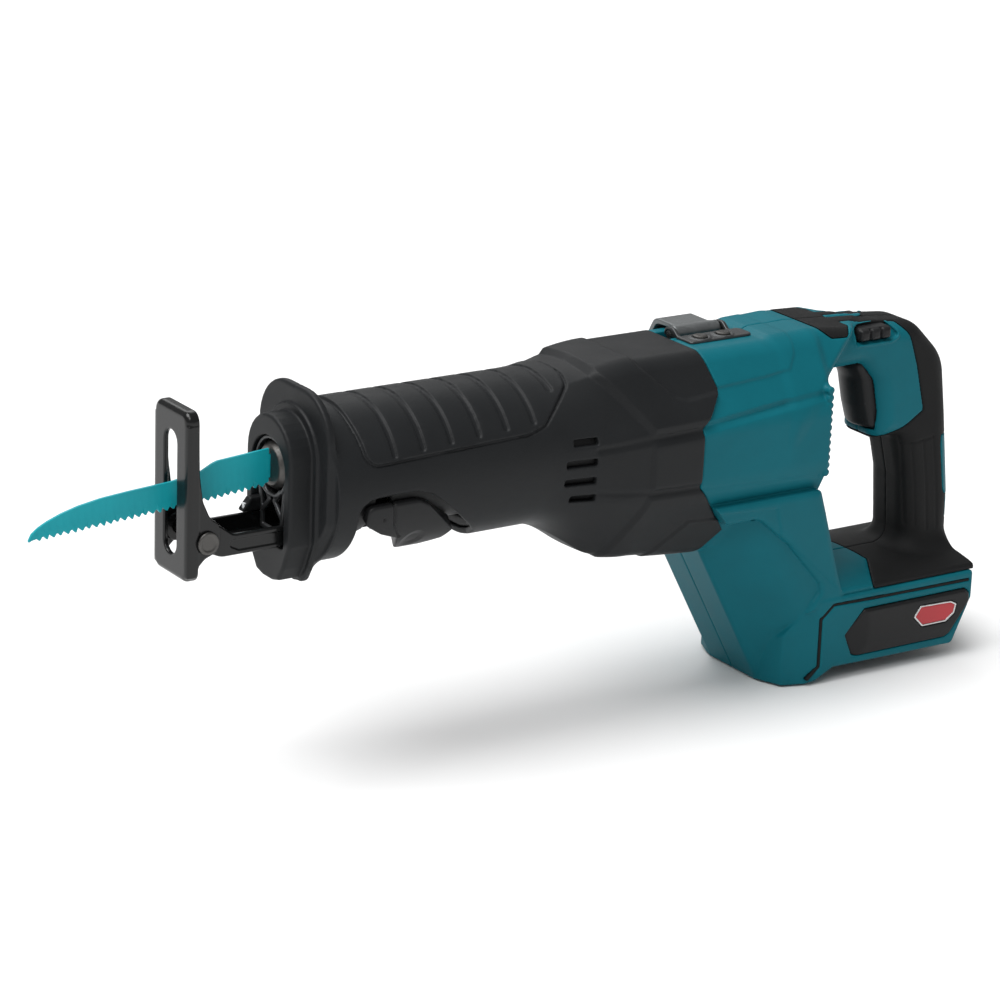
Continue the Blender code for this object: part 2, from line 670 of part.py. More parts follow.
def make_motor():
    """Brushless motor: stator, rotor on its shaft, pinion, cooling fan and two bearings."""
    axis = (0.0, MOTOR_Z)
    pivot = (240.0, 0.0, MOTOR_Z)
    make("motor_stator", ring("X", axis, 28.0, 15.8, 208.0, 252.0, 24), COPPER)
    shaft = [(169.3, 2.6), (177.5, 2.6), (177.6, 4.0), (284.0, 4.0)]
    make("motor_shaft", turned("X", axis, shaft, 20), BRIGHT_STEEL, pivot)
    make("rotor_core", ring("X", axis, 15.3, 4.3, 210.0, 250.0), DARK_STEEL, pivot)
    pinion = make("motor_pinion", prism(toothed(axis, 4.4, 3.7, PINION_TEETH), "X", 169.3, 176.5),
                  DARK_STEEL, pivot)
    cut(pinion, cylinder("X", axis, 2.9, 160.0, 190.0, 16))
    blades = toothed(axis, 22.8, 9.0, 9)
    fan = make("cooling_fan", prism(blades, "X", 194.0, 203.5), PLASTIC_BLACK, pivot)
    join(fan, cylinder("X", axis, 23.0, 203.0, 205.0, 24))
    cut(fan, cylinder("X", axis, 4.3, 180.0, 210.0, 20))
    make("motor_bearing_front", ring("X", axis, 11.0, 4.3, 178.5, 186.0), BRIGHT_STEEL)
    make("motor_bearing_rear", ring("X", axis, 11.0, 4.3, 276.0, 284.0), BRIGHT_STEEL)


# ---------------------------------------------------------------- blade and clamp

def make_blade():
    """Pruning blade: curved pointed tip, stepped back, coarse teeth and a narrower tang."""
    back = [(-62.0, -5.0), (-52.0, -1.0), (-40.0, 2.0), (-20.0, 3.8), (0.0, 5.0), (15.0, 7.5), (22.0, 11.0),
            (49.6, 13.2), (49.6, 10.4), (66.0, 10.4), (66.0, -0.4), (49.6, -0.4), (49.6, -4.0)]
    pitch = 4.0
    teeth = []
    count = 26
    for i in range(count):
        x = 46.0 - pitch * i
        edge = -4.0 - 2.6 * (50.0 - x) / 32.0 if x > 18.0 else -6.6 - 4.6 * (18.0 - x) / 80.0
        teeth.append((x, edge))
        teeth.append((x - 1.2, edge + 1.5))
    tip = [(-62.0, -11.6), (BLADE_TIP_X, -11.6), (-67.0, -8.5)]
    blade = make("blade", prism(back + teeth + tip, "Y", -0.65, 0.65), BLADE_PAINT,
                 (CRANK_X, 0.0, STROKE_Z))
    cut(blade, cylinder("Y", (59.0, STROKE_Z), 2.9, -5.0, 5.0, 16))


def make_clamp():
    """Blade clamp: sleeve on the plunger, its pin, the cam ring and the lever."""
    pivot = (CRANK_X, 0.0, STROKE_Z)
    centre = (0.0, STROKE_Z)
    sleeve = make("clamp_sleeve", turned("X", centre, [(50.0, 9.5), (52.5, 11.4), (75.0, 11.4)]), DARK_STEEL,
                  pivot)
    cut(
        sleeve,
        block((45.0, -0.95, -0.7), (67.0, 0.95, 10.7)),
        cylinder("Y", (59.0, STROKE_Z), 2.6, -20.0, 20.0, 16),
    )
    make("clamp_pin", turned("Y", (59.0, STROKE_Z), [(-10.5, 2.3), (10.5, 2.3)], 16), BRIGHT_STEEL, pivot)
    axis_point = (LEVER_X[0], 0.0, STROKE_Z)
    make("clamp_cam_ring", ring("X", centre, 17.0, 12.0, 86.6, 93.8), DARK_STEEL, axis_point)
    inner = []
    outer = []
    steps = 8
    for i in range(steps + 1):
        angle = math.radians(21.0 + 46.0 * i / steps)
        lift = STROKE_Z - BARREL_Z
        reach = BARREL_R + 0.5
        rise = lift * math.sin(angle)
        surface = rise + math.sqrt(rise * rise - lift * lift + reach * reach)
        for row, radius in ((inner, LEVER_INNER_R), (outer, surface)):
            row.append((-radius * math.cos(angle), STROKE_Z - radius * math.sin(angle)))
    lever = make("clamp_lever", prism(inner + outer[::-1], "X", *LEVER_X), PLASTIC_BLACK, axis_point)
    join(lever, prism(sector(17.3, LEVER_INNER_R + 1.0, 28.0, 42.0), "X", 87.0, 93.4))


# ---------------------------------------------------------------- shoe

def make_shoe():
    """Shoe, its pivot pin, and the bracket that slides in the nose."""
    x, z = PIVOT
    face = fillet([(-SHOE_HALF, -38.5, 5), (SHOE_HALF, -38.5, 5), (SHOE_HALF, 40.0, 5),
                   (-SHOE_HALF, 40.0, 5)])
    pivot = (x, 0.0, z)
    shoe = make("shoe", prism(face, "X", 0.0, SHOE_PLATE), GLOSS_BLACK, pivot)
    flange = [(1.0, -34.0), (5.0, -34.0), (6.0, -30.0), (10.0, -28.3), (16.0, -23.0), (17.2, -17.5),
              (15.0, -12.0), (10.0, -6.0), (8.0, 0.0), (6.0, 14.0), (6.0, 34.0), (1.0, 34.0)]
    inner = SHOE_HALF - SHOE_PLATE
    sides = [prism(flange, "Y", *sorted((side * SHOE_HALF, side * inner))) for side in (-1, 1)]
    join(shoe, *sides)
    slot = fillet([(-5.5, -28.0, 5.4), (5.5, -28.0, 5.4), (5.5, 29.0, 5.4), (-5.5, 29.0, 5.4)], 4)
    cut(shoe, prism(slot, "X", -5.0, 5.0), cylinder("Y", (x, z), 2.8, -30.0, 30.0, 16))
    head = [(-17.4, 4.6), (-16.8, 5.3), (-15.8, 5.3), (-15.8, 2.5), (15.8, 2.5), (15.8, 5.3), (16.8, 5.3),
            (17.4, 4.6)]
    make("shoe_pivot_pin", turned("Y", (x, z), head, 20), DARK_STEEL, pivot)

    arm = circle((x, z), 6.8, 9, 90.0, 130.0) + [(20.0, -29.5), (74.5, -29.5), (74.5, -19.5), (24.0, -19.5),
                                                 (17.0, -16.5)]
    bracket = make("shoe_bracket", prism(arm, "Y", -ARM_HALF, ARM_HALF), GLOSS_BLACK)
    cut(
        bracket,
        prism([(0.0, -50.0), (22.0, -50.0), (22.0, -27.5), (80.0, -27.5), (80.0, 0.0), (0.0, 0.0)], "Y",
              -ARM_HALF + ARM_PLATE, ARM_HALF - ARM_PLATE),
        cylinder("Y", (x, z), 2.8, -30.0, 30.0, 16),
    )
    join(bracket, block((70.0, -7.0, -29.5), (112.0, 7.0, -27.2)))
    notches = [block((84.5 + 8.0 * i, 3.0, -30.0), (89.5 + 8.0 * i, 8.0, -20.0)) for i in range(3)]
    cut(bracket, *notches)


# ---------------------------------------------------------------- controls and electronics

def trigger_side(push):
    """Side outline of the trigger, its front pushed back by some distance."""
    return fillet([(372.0 + push, 12.5, 3), (392.0, 14.5, 3), (TRIGGER_REAR_X, 8.0, 3),
                   (TRIGGER_REAR_X, -23.2, 2), (385.0 + push, -23.2, 3), (381.5 + push, -12.0, 4),
                   (378.0 + push, 2.0, 4)], 2)


def make_controls():
    """Trigger with its spring and switch, and the lock-off cross button."""
    sections = ((-TRIGGER_HALF, 5.0), (-5.5, 0.0), (5.5, 0.0), (TRIGGER_HALF, 5.0))
    rings = [[(x, y, z) for x, z in trigger_side(push)] for y, push in sections]
    make("trigger", loft(rings), PLASTIC_BLACK, (390.0, 0.0, 0.0))
    switch_x = TRIGGER_REAR_X + TRIGGER_TRAVEL + 1.0
    spring = cylinder("X", (0.0, -4.0), 3.0, TRIGGER_REAR_X + 0.4, switch_x - 0.4, 12)
    make("trigger_spring", spring, BRIGHT_STEEL)
    switch = make("trigger_switch", block((switch_x, -9.2, -19.6), (424.1, 9.2, 11.6)), PLASTIC_BLACK)
    cut(switch, block((421.0, -5.0, -25.0), (427.0, 5.0, -14.0)))
    (x0, z0), (x1, z1) = LOCK_LOW, LOCK_HIGH
    outline = fillet([(x0, z0, 2), (x1, z0, 2), (x1, z1, 2), (x0, z1, 2)], 2)
    centre = ((x0 + x1) / 2, 0.0, (z0 + z1) / 2)
    reach = HANDLE_HALF + 1.5
    button = make("trigger_lock_button", prism(outline, "Y", -reach, reach), PLASTIC_BLACK, centre)
    for x in (x0 + 5.0, x0 + 10.0, x0 + 15.0):
        for side in (-1.0, 1.0):
            ends = sorted((side * (reach - 0.8), side * (reach + 5.0)))
            cut(button, block((x - 0.6, ends[0], 15.0), (x + 0.6, ends[1], 40.0)))


def make_electronics():
    """Controller in the leg, and the battery mount with its terminal block in the base."""
    controller = make("motor_controller", block((313.0, -15.5, -108.0), (337.0, 15.5, -62.0)), CAST_METAL)
    for i in range(5):
        y = -12.0 + 6.0 * i
        cut(controller, block((310.0, y - 1.6, -115.0), (316.0, y + 1.6, -60.0)))
    mount = make("battery_mount", block((352.5, -33.6, -119.0), (439.5, 33.6, -114.4)), PLASTIC_BLACK)
    rails = []
    for side in (-1.0, 1.0):
        rail = [(33.6, -114.6), (33.6, -131.0), (27.0, -131.0), (27.0, -127.0), (30.4, -127.0),
                (30.4, -114.6)]
        rails.append(prism([(side * y, z) for y, z in rail], "X", 352.5, 439.5))
    join(mount, *rails)
    cut(mount, block((366.0, -15.3, -125.0), (392.3, 15.3, -110.0)))
    terminals = block((366.3, -15.0, -126.0), (392.0, 15.0, -114.4))
    block_body = make("battery_terminals", terminals, PLASTIC_BLACK)
    for y in (-9.0, -3.0, 3.0, 9.0):
        cut(block_body, block((372.0, y - 1.2, -130.0), (395.0, y + 1.2, -119.0)))


def make_hook():
    """Hanging hook on the top face, folded down the right shoulder."""
    bore = cylinder("X", HOOK_AXIS, 2.3, 260.0, 320.0, 16)
    bracket = make("hook_bracket", block((274.0, -11.0, 34.3), (311.0, 0.6, 36.0)), BRIGHT_STEEL)
    join(bracket, *[block((x - 1.1, -2.0, 34.3), (x + 1.1, 11.2, 38.9)) for x in (275.1, 304.2)])
    cut(bracket, bore.copy())
    for x in HOOK_SCREW_X:
        cut(bracket, cylinder("Z", (x, HOOK_SCREW_Y), 2.3, 30.0, 40.0, 16))
    make("hook_pin", turned("X", HOOK_AXIS, [(274.2, 2.0), (305.2, 2.0)], 16), BRIGHT_STEEL)
    eye = cylinder("X", HOOK_AXIS, 3.8, 276.6, 302.7, 20)
    hook = make("hanging_hook", eye, DARK_STEEL, (290.0, *HOOK_AXIS))
    arm = [(9.0, 35.0), (25.0, 35.0), (40.4, 10.6), (38.6, 9.0), (41.6, 8.4), (41.8, 12.0),
           (26.5, 37.4), (9.0, 37.4)]
    join(hook, prism(arm, "X", 279.0, 300.0))
    cut(hook, bore)
    for number, x in enumerate(HOOK_SCREW_X, 1):
        screw("hook_screw_%d" % number, "Z", (x, HOOK_SCREW_Y), (37.4, 36.3, 3.6), (24.0, 1.7), BRIGHT_STEEL)


def make_lamp():
    """Work lamp beside the nose, above the right arm of the shoe bracket."""
    outline = [(41.5, -18.9), (53.0, -18.9), (53.0, -12.5), (46.0, -12.5)]
    lamp = make("lamp_housing", prism(outline, "Y", 9.4, 13.9), RUBBER_BLACK)
    cut(lamp, block((40.0, 10.3, -18.2), (45.0, 13.0, -14.0)))
    make("lamp_lens", block((43.8, 10.6, -17.8), (44.7, 12.7, -15.2)), CLEAR)


def main():
    clear_scene()
    make_housing()
    make_housing_trim()
    make_grips()
    make_boot()
    make_gear_case()
    make_bushes()
    make_crank()
    make_counterweight()
    make_plunger()
    make_motor()
    make_blade()
    make_clamp()
    make_shoe()
    make_controls()
    make_electronics()
    make_hook()
    make_lamp()


main()
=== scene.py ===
"""Looks of the cordless reciprocating saw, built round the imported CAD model.

Shapes are written in the saw's own millimetres: x = 0 is the shoe's front face with +x to the rear
handle, y = 0 is the mid-plane with -y on the left, and the blade's stroke axis lies at z = 5.
A moulded piece is a field: a function that is negative inside the piece. Fields are joined and cut
with round edges and then turned into a mesh.
"""

import itertools
import json
import math

import bmesh
import bpy
import numpy as np
from mathutils import Matrix, Vector


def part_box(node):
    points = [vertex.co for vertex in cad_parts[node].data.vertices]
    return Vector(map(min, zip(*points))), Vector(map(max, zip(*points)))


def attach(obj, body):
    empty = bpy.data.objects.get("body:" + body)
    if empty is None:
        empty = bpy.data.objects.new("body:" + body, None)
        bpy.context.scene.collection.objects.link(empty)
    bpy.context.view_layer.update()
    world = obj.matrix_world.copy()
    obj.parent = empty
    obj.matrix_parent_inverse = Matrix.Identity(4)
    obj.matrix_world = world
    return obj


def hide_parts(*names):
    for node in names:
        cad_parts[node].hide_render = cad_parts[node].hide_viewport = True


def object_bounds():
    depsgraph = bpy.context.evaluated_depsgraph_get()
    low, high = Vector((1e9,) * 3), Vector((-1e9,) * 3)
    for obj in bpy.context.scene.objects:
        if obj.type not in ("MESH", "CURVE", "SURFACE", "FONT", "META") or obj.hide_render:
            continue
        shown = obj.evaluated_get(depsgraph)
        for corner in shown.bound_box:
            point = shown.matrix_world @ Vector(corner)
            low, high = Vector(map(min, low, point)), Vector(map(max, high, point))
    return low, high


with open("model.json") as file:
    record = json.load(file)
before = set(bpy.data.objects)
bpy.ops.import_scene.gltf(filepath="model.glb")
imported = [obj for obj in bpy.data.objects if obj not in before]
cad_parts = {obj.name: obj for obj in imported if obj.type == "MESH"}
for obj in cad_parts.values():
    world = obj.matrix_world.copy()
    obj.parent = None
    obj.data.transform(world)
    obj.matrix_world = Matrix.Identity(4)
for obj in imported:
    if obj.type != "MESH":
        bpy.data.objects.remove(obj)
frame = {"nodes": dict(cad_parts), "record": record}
cad_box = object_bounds()

MM = 0.001
STROKE_Z = 5.0
SHOE_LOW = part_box("shoe")[0]
ROD_LOW, ROD_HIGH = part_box("plunger")
DATUM = Vector((SHOE_LOW.x, 0, (ROD_LOW.z + ROD_HIGH.z) / 2 - STROKE_Z * MM))

STEP = 0.6  # grid of the large mouldings
FINE = 0.4  # grid of the small ones

BARREL_R = 36.5
BARREL_Z = -5.0
FLARE_START_X = 178.0
FLARE_END_X = 232.0
HALF_WIDTH = 42.0
BODY_REAR_X = 338.0
BOTTOM_Z = -141.0
BASE_HALF = 39.0
HANDLE_HALF = 16.5
HANDLE_EDGE = 10.0
GRIP_SKIN = 3.0
BASE_TOP_Z = -97.0
SKIN = 3.2  # wall of the rubber
GAP = 0.3
MOTOR_Z = -14.0
PIVOT = (10.3, -20.3)  # the shoe's pin, x and z
NOSE_Z = 4.5  # middle of the round opening
HOOK_AXIS = (7.5, 35.2)  # y and z
HOOK_SCREW_X = (283.5, 297)
HOOK_SCREW_Y = -5.5


# ---------------------------------------------------------------- fields

def both(a, b, edge=0):
    """The part inside both fields, its new edge rounded to a radius."""
    if edge <= 0.0:
        return np.maximum(a, b)
    a = a + edge
    b = b + edge
    outside = np.hypot(np.maximum(a, 0), np.maximum(b, 0))
    return np.minimum(np.maximum(a, b), 0) + outside - edge


def either(a, b, edge=0):
    """The two fields joined, the inner corner filled to a radius."""
    return -both(-a, -b, edge)


def without(a, b, edge=0):
    """The first field with the second cut away."""
    return both(a, -b, edge)


def mix(low, high, share):
    return low + (high - low) * share


def ramp(value, start, end):
    """0 before start and 1 after end, with a smooth change between."""
    share = np.clip((value - start) / (end - start), 0, 1)
    return share * share * (3.0 - 2.0 * share)


def between(value, low, high):
    """Distance to a slab across one axis."""
    return np.abs(value - (low + high) / 2) - (high - low) / 2


def disc(u, v, centre, radius):
    """Distance outside a circle, negative inside."""
    return np.hypot(u - centre[0], v - centre[1]) - radius


def outline(u, v, points):
    """Signed distance to a closed polygon, negative inside."""
    nearest = None
    inside = False
    for (u0, v0), (u1, v1) in zip(points, points[1:] + points[:1]):
        eu, ev = u1 - u0, v1 - v0
        wu, wv = u - u0, v - v0
        share = np.clip((wu * eu + wv * ev) / (eu * eu + ev * ev), 0, 1)
        square = (wu - eu * share) ** 2 + (wv - ev * share) ** 2
        nearest = square if nearest is None else np.minimum(nearest, square)
        crosses = ((v0 <= v) & (v1 > v)) | ((v1 <= v) & (v0 > v))
        inside = inside ^ (crosses & ((eu * wv - ev * wu > 0) == (ev > 0)))
    return np.where(inside, -1, 1) * np.sqrt(nearest)


def path(u, v, points):
    """Distance to an open run of straight lines."""
    nearest = None
    for (u0, v0), (u1, v1) in zip(points, points[1:]):
        eu, ev = u1 - u0, v1 - v0
        share = np.clip(((u - u0) * eu + (v - v0) * ev) / (eu * eu + ev * ev), 0, 1)
        reach = np.hypot(u - u0 - eu * share, v - v0 - ev * share)
        nearest = reach if nearest is None else np.minimum(nearest, reach)
    return nearest


def rounded(corners, steps=6):
    """An outline's corners rounded; a corner is (u, v) or (u, v, radius)."""
    result = []
    count = len(corners)
    for i, corner in enumerate(corners):
        here = Vector(corner[:2])
        radius = corner[2] if len(corner) > 2 else 0.0
        if radius <= 0.0:
            result.append(tuple(here))
            continue
        back = (Vector(corners[i - 1][:2]) - here).normalized()
        ahead = (Vector(corners[(i + 1) % count][:2]) - here).normalized()
        half = back.angle(ahead) / 2
        reach = radius / math.tan(half)
        centre = here + (back + ahead).normalized() * (radius / math.sin(half))
        start = here + back * reach - centre
        turn = start.angle_signed(here + ahead * reach - centre)
        for step in range(steps + 1):
            spoke = start.copy()
            spoke.rotate(Matrix.Rotation(-turn * step / steps, 2))
            result.append(tuple(centre + spoke))
    return result


def side_plane(reach, z, upper, lower):
    """Distance outside the plane through two corners of a section, each (half-width, z)."""
    normal = Vector((upper[1] - lower[1], lower[0] - upper[0])).normalized()
    return (reach - upper[0]) * normal.x + (z - upper[1]) * normal.y


def raised(shape, flat, height, slope):
    """Lift a surface by a height inside an outline, over a slope of some width at its border."""
    return shape - height * np.clip(-flat / slope, 0, 1)


def grooved(shape, line, width, depth):
    """Press a V-shaped groove along a line into a surface."""
    return shape + depth * np.clip(1.0 - line * 2.0 / width, 0, 1)


def engraved(shape, flat, depth, edge=0):
    """Cut an outline into a surface with upright walls."""
    return without(shape, both(flat, -shape - depth), edge)


# ---------------------------------------------------------------- meshes

def grid(low, high, step):
    """Open grids of x, y and z in millimetres, with the low corner and the step."""
    axes = []
    for i in range(3):
        count = int(math.ceil((high[i] - low[i]) / step)) + 5
        axes.append((low[i] - 2 * step + step * np.arange(count)).astype(np.float32))
    start = np.array([axis[0] for axis in axes], float)
    x, y, z = axes
    return x[:, None, None], y[None, :, None], z[None, None, :], start


def net(field, start, step):
    """Points and four-sided faces of a field's zero surface, one point in each cell that it crosses."""
    inside = field < 0.0
    size = np.array(field.shape) - 1
    count = np.zeros(size, np.uint8)
    for i, j, k in itertools.product((0, 1), repeat=3):
        count += inside[i:size[0] + i, j:size[1] + j, k:size[2] + k]
    cells = np.argwhere((count > 0) & (count < 8))
    index = np.full(size, -1, np.int64)
    index[tuple(cells.T)] = np.arange(len(cells))
    total = np.zeros((len(cells), 3))
    hits = np.zeros(len(cells))
    for axis in range(3):
        unit = np.eye(3, dtype=int)[axis]
        others = [a for a in range(3) if a != axis]
        for first, second in itertools.product((0, 1), repeat=2):
            offset = np.zeros(3, int)
            offset[others[0]], offset[others[1]] = first, second
            near = field[tuple((cells + offset).T)].astype(float)
            far = field[tuple((cells + offset + unit).T)].astype(float)
            crossed = (near < 0) != (far < 0)
            share = near[crossed] / (near[crossed] - far[crossed])
            total[crossed] += offset + share[:, None] * unit
            hits[crossed] += 1
    points = (cells + total / hits[:, None]) * step + start
    faces = []
    for axis in range(3):
        unit = np.eye(3, dtype=int)[axis]
        one, two = [np.eye(3, dtype=int)[a] for a in ((axis + 1) % 3, (axis + 2) % 3)]
        low = inside[tuple(slice(0, n - u) for n, u in zip(field.shape, unit))]
        high = inside[tuple(slice(u, n) for n, u in zip(field.shape, unit))]
        edges = np.argwhere(low != high)
        keep = np.all((edges - one - two >= 0) & (edges < size), axis=1)
        edges = edges[keep]
        quad = np.stack([index[tuple((edges - a).T)] for a in (one + two, two, 0 * one, one)], axis=1)
        leaving = low[tuple(edges.T)]
        faces.append(np.where(leaving[:, None], quad, quad[:, ::-1]))
    return points, np.concatenate(faces)


def new_piece(name, mesh, body, material, replaces=()):
    piece = bpy.data.objects.new(name, mesh)
    bpy.context.scene.collection.objects.link(piece)
    mesh.materials.clear()
    mesh.materials.append(material)
    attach(piece, body)
    if replaces:
        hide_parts(*replaces)
    return piece


def reduce(piece, share):
    """Fewer faces where the surface is plain."""
    thin = piece.modifiers.new("reduce", "DECIMATE")
    thin.ratio = share
    bpy.context.view_layer.update()
    evaluated = piece.evaluated_get(bpy.context.evaluated_depsgraph_get())
    mesh = bpy.data.meshes.new_from_object(evaluated)
    piece.modifiers.clear()
    piece.data = mesh
    mesh.shade_smooth()


def mould(name, field, box, step, body, material, replaces=(), keep=1):
    """A piece from a field function of x, y and z, inside a box of two corners."""
    x, y, z, start = grid(box[0], box[1], step)
    values = np.ascontiguousarray(field(x, y, z) + np.zeros((x.size, y.size, z.size), np.float32))
    points, faces = net(values, start, step)
    mesh = bpy.data.meshes.new(name)
    mesh.from_pydata((points * MM + np.array(DATUM)).tolist(), [], faces.tolist())
    mesh.update()
    mesh.shade_smooth()
    piece = new_piece(name, mesh, body, material, replaces)
    if keep < 1.0:
        reduce(piece, keep)
    return piece


# ---------------------------------------------------------------- materials

def nodes_of(name):
    material = bpy.data.materials.new(name)
    material.use_nodes = True
    tree = material.node_tree
    shader = tree.nodes["Principled BSDF"]
    place = tree.nodes.new("ShaderNodeTexCoord")
    return material, tree, shader, place


def noise(tree, place, scale, detail=3, roughness=0.5):
    """Noise in the object's own coordinates; the scale is features per metre."""
    texture = tree.nodes.new("ShaderNodeTexNoise")
    texture.inputs["Scale"].default_value = scale
    texture.inputs["Detail"].default_value = detail
    texture.inputs["Roughness"].default_value = roughness
    tree.links.new(place.outputs["Object"], texture.inputs["Vector"])
    return texture


def spread(tree, source, low, high, start=0.3, end=0.7):
    """Map a texture's middle range to two numbers."""
    node = tree.nodes.new("ShaderNodeMapRange")
    node.inputs["From Min"].default_value = start
    node.inputs["From Max"].default_value = end
    node.inputs["To Min"].default_value = low
    node.inputs["To Max"].default_value = high
    tree.links.new(source, node.inputs["Value"])
    return node.outputs["Result"]


def blend_colour(tree, factor, low, high):
    node = tree.nodes.new("ShaderNodeMix")
    node.data_type = "RGBA"
    for socket, value in (("A", low), ("B", high)):
        target = [s for s in node.inputs if s.name == socket and s.type == "RGBA"][0]
        if isinstance(value, tuple):
            target.default_value = (*value, 1)
        else:
            tree.links.new(value, target)
    tree.links.new(factor, node.inputs["Factor"])
    return [s for s in node.outputs if s.type == "RGBA"][0]


def bump(tree, shader, height, distance):
    node = tree.nodes.new("ShaderNodeBump")
    node.inputs["Distance"].default_value = distance
    node.inputs["Strength"].default_value = 1.0
    tree.links.new(height, node.inputs["Height"])
    tree.links.new(node.outputs["Normal"], shader.inputs["Normal"])


def moulded(name, colour, worn, roughness, grain, depth, metallic=0, level=0.5):
    """Plastic, rubber, paint or cast metal: fine grain, uneven gloss and edges of a second colour."""
    material, tree, shader, place = nodes_of(name)
    shader.inputs["Metallic"].default_value = metallic
    shader.inputs["Specular IOR Level"].default_value = level
    fine = noise(tree, place, grain, 2)
    broad = noise(tree, place, 28, 5, 0.6)
    cloud = blend_colour(
        tree, spread(tree, broad.outputs["Fac"], 0, 1),
        tuple(c * 0.92 for c in colour), tuple(min(c * 1.08, 1) for c in colour))
    geometry = tree.nodes.new("ShaderNodeNewGeometry")
    edge = spread(tree, geometry.outputs["Pointiness"], 0, 0.5, 0.53, 0.60)
    rubbed = tree.nodes.new("ShaderNodeMath")
    rubbed.operation = "MULTIPLY"
    tree.links.new(edge, rubbed.inputs[0])
    tree.links.new(spread(tree, broad.outputs["Fac"], 0.3, 1), rubbed.inputs[1])
    tree.links.new(blend_colour(tree, rubbed.outputs["Value"], cloud, worn), shader.inputs["Base Color"])
    gloss = spread(tree, broad.outputs["Fac"], roughness * 0.9, roughness * 1.1)
    tree.links.new(gloss, shader.inputs["Roughness"])
    bump(tree, shader, fine.outputs["Fac"], depth)
    return material


def brushed(name, colour, roughness, stretch, depth=0.00002):
    """Steel with fine marks drawn out along one axis."""
    material, tree, shader, place = nodes_of(name)
    shader.inputs["Metallic"].default_value = 1.0
    scale = tree.nodes.new("ShaderNodeMapping")
    scale.inputs["Scale"].default_value = stretch
    tree.links.new(place.outputs["Object"], scale.inputs["Vector"])
    marks = noise(tree, place, 1, 4)
    tree.links.new(scale.outputs["Vector"], marks.inputs["Vector"])
    dark = tuple(c * 0.8 for c in colour)
    light = tuple(min(c * 1.15, 1) for c in colour)
    tree.links.new(blend_colour(tree, marks.outputs["Fac"], dark, light), shader.inputs["Base Color"])
    gloss = spread(tree, marks.outputs["Fac"], roughness * 0.8, roughness * 1.3)
    tree.links.new(gloss, shader.inputs["Roughness"])
    bump(tree, shader, marks.outputs["Fac"], depth)
    return material


# Name, colour, rubbed colour, roughness, grain per metre and its depth.
TEAL = moulded(
    "teal_plastic", (0.004, 0.115, 0.147), (0.016, 0.19, 0.23), 0.44, 2200, 0.00004, level=0.1)
RUBBER = moulded(
    "moulded_rubber", (0.0115, 0.0125, 0.0135), (0.032, 0.034, 0.036), 0.48, 2600, 0.00008, level=0.18)
GRIP_RUBBER = moulded(
    "grip_rubber", (0.0095, 0.0097, 0.010), (0.018, 0.019, 0.020), 0.62, 3200, 0.00008, level=0.14)
BLACK = moulded(
    "black_plastic", (0.0105, 0.0108, 0.0115), (0.024, 0.025, 0.026), 0.42, 2800, 0.00004, level=0.2)
GLOSS = moulded(
    "gloss_black", (0.005, 0.0053, 0.0055), (0.016, 0.016, 0.016), 0.22, 700, 0.00003, level=0.35)
CAST = moulded(
    "cast_aluminium", (0.075, 0.077, 0.08), (0.17, 0.175, 0.18), 0.45, 1400, 0.00006, metallic=0.8)
CASING = moulded(
    "dark_casting", (0.012, 0.0125, 0.013), (0.03, 0.031, 0.032), 0.5, 1400, 0.00006, level=0.2)
BLADE_PAINT = moulded(
    "blade_paint", (0.004, 0.28, 0.33), (0.012, 0.36, 0.41), 0.38, 1800, 0.00002, level=0.2)
LENS = moulded("lens", (0.75, 0.78, 0.8), (0.9, 0.9, 0.9), 0.08, 500, 0.00002)
RED = moulded("badge_red", (0.42, 0.008, 0.016), (0.5, 0.05, 0.05), 0.3, 1800, 0.00002)
# Name, colour, roughness and the marks' scale along each axis.
DARK = brushed("dark_steel", (0.10, 0.097, 0.093), 0.42, (900, 900, 900), 0.00003)
HOOK_STEEL = brushed("hook_steel", (0.20, 0.21, 0.213), 0.48, (900, 900, 900), 0.00003)
PLATE_STEEL = brushed("plate_steel", (0.10, 0.104, 0.107), 0.45, (900, 900, 900), 0.00003)
BRIGHT = brushed("bright_steel", (0.55, 0.55, 0.54), 0.26, (200, 2600, 2600))
COPPER = brushed("copper", (0.7, 0.32, 0.16), 0.35, (300, 2000, 2000))
BRONZE = brushed("bronze", (0.5, 0.34, 0.16), 0.4, (900, 900, 900))
SILVER = brushed("badge_silver", (0.6, 0.6, 0.6), 0.3, (300, 2000, 2000))
FINISHES = {
    "teal_plastic": TEAL,
    "rubber": RUBBER,
    "gloss_black": GLOSS,
    "black_plastic": BLACK,
    "cast_metal": CAST,
    "bright_steel": BRIGHT,
    "dark_steel": DARK,
    "blade_paint": BLADE_PAINT,
    "copper": COPPER,
    "bronze": BRONZE,
    "clear_lens": LENS,
    "badge_red": RED,
}


# ---------------------------------------------------------------- shared shapes

def body_section(y, z, inset=0):
    """Faceted section of the motor body, its edges rounded."""
    reach = np.abs(y)
    shape = both(reach - HALF_WIDTH, side_plane(reach, z, (23, 34), (HALF_WIDTH, 3)), 2.5)
    shape = both(shape, side_plane(reach, z, (HALF_WIDTH, -27), (22, -66)), 2.5)
    shape = both(shape, z - 34, 4)
    return both(shape, -66.0 - z, 3) + inset


def boot_section(x, y, z, inset=0):
    """Round along the barrel and faceted past the flare."""
    share = ramp(x, FLARE_START_X, FLARE_END_X)
    tube = np.hypot(y, z - BARREL_Z) - BARREL_R
    shape = mix(tube, body_section(y, z), share)
    underside = -59.0 - 0.125 * np.clip(x - FLARE_END_X, 0, 52)  # drops towards the rear
    return both(shape, underside - z, 3) + inset


def boot_reach(x, z, grow=0):
    """Side outline of what the boot covers; its rear edge steps in and out."""
    edge = [(40, 60), (271, 60), (271, 32), (274.5, 19), (261.5, 3), (261, -26),
            (283.5, -53), (273, -65), (273, -90), (40, -90)]
    return outline(x, z, edge) - grow


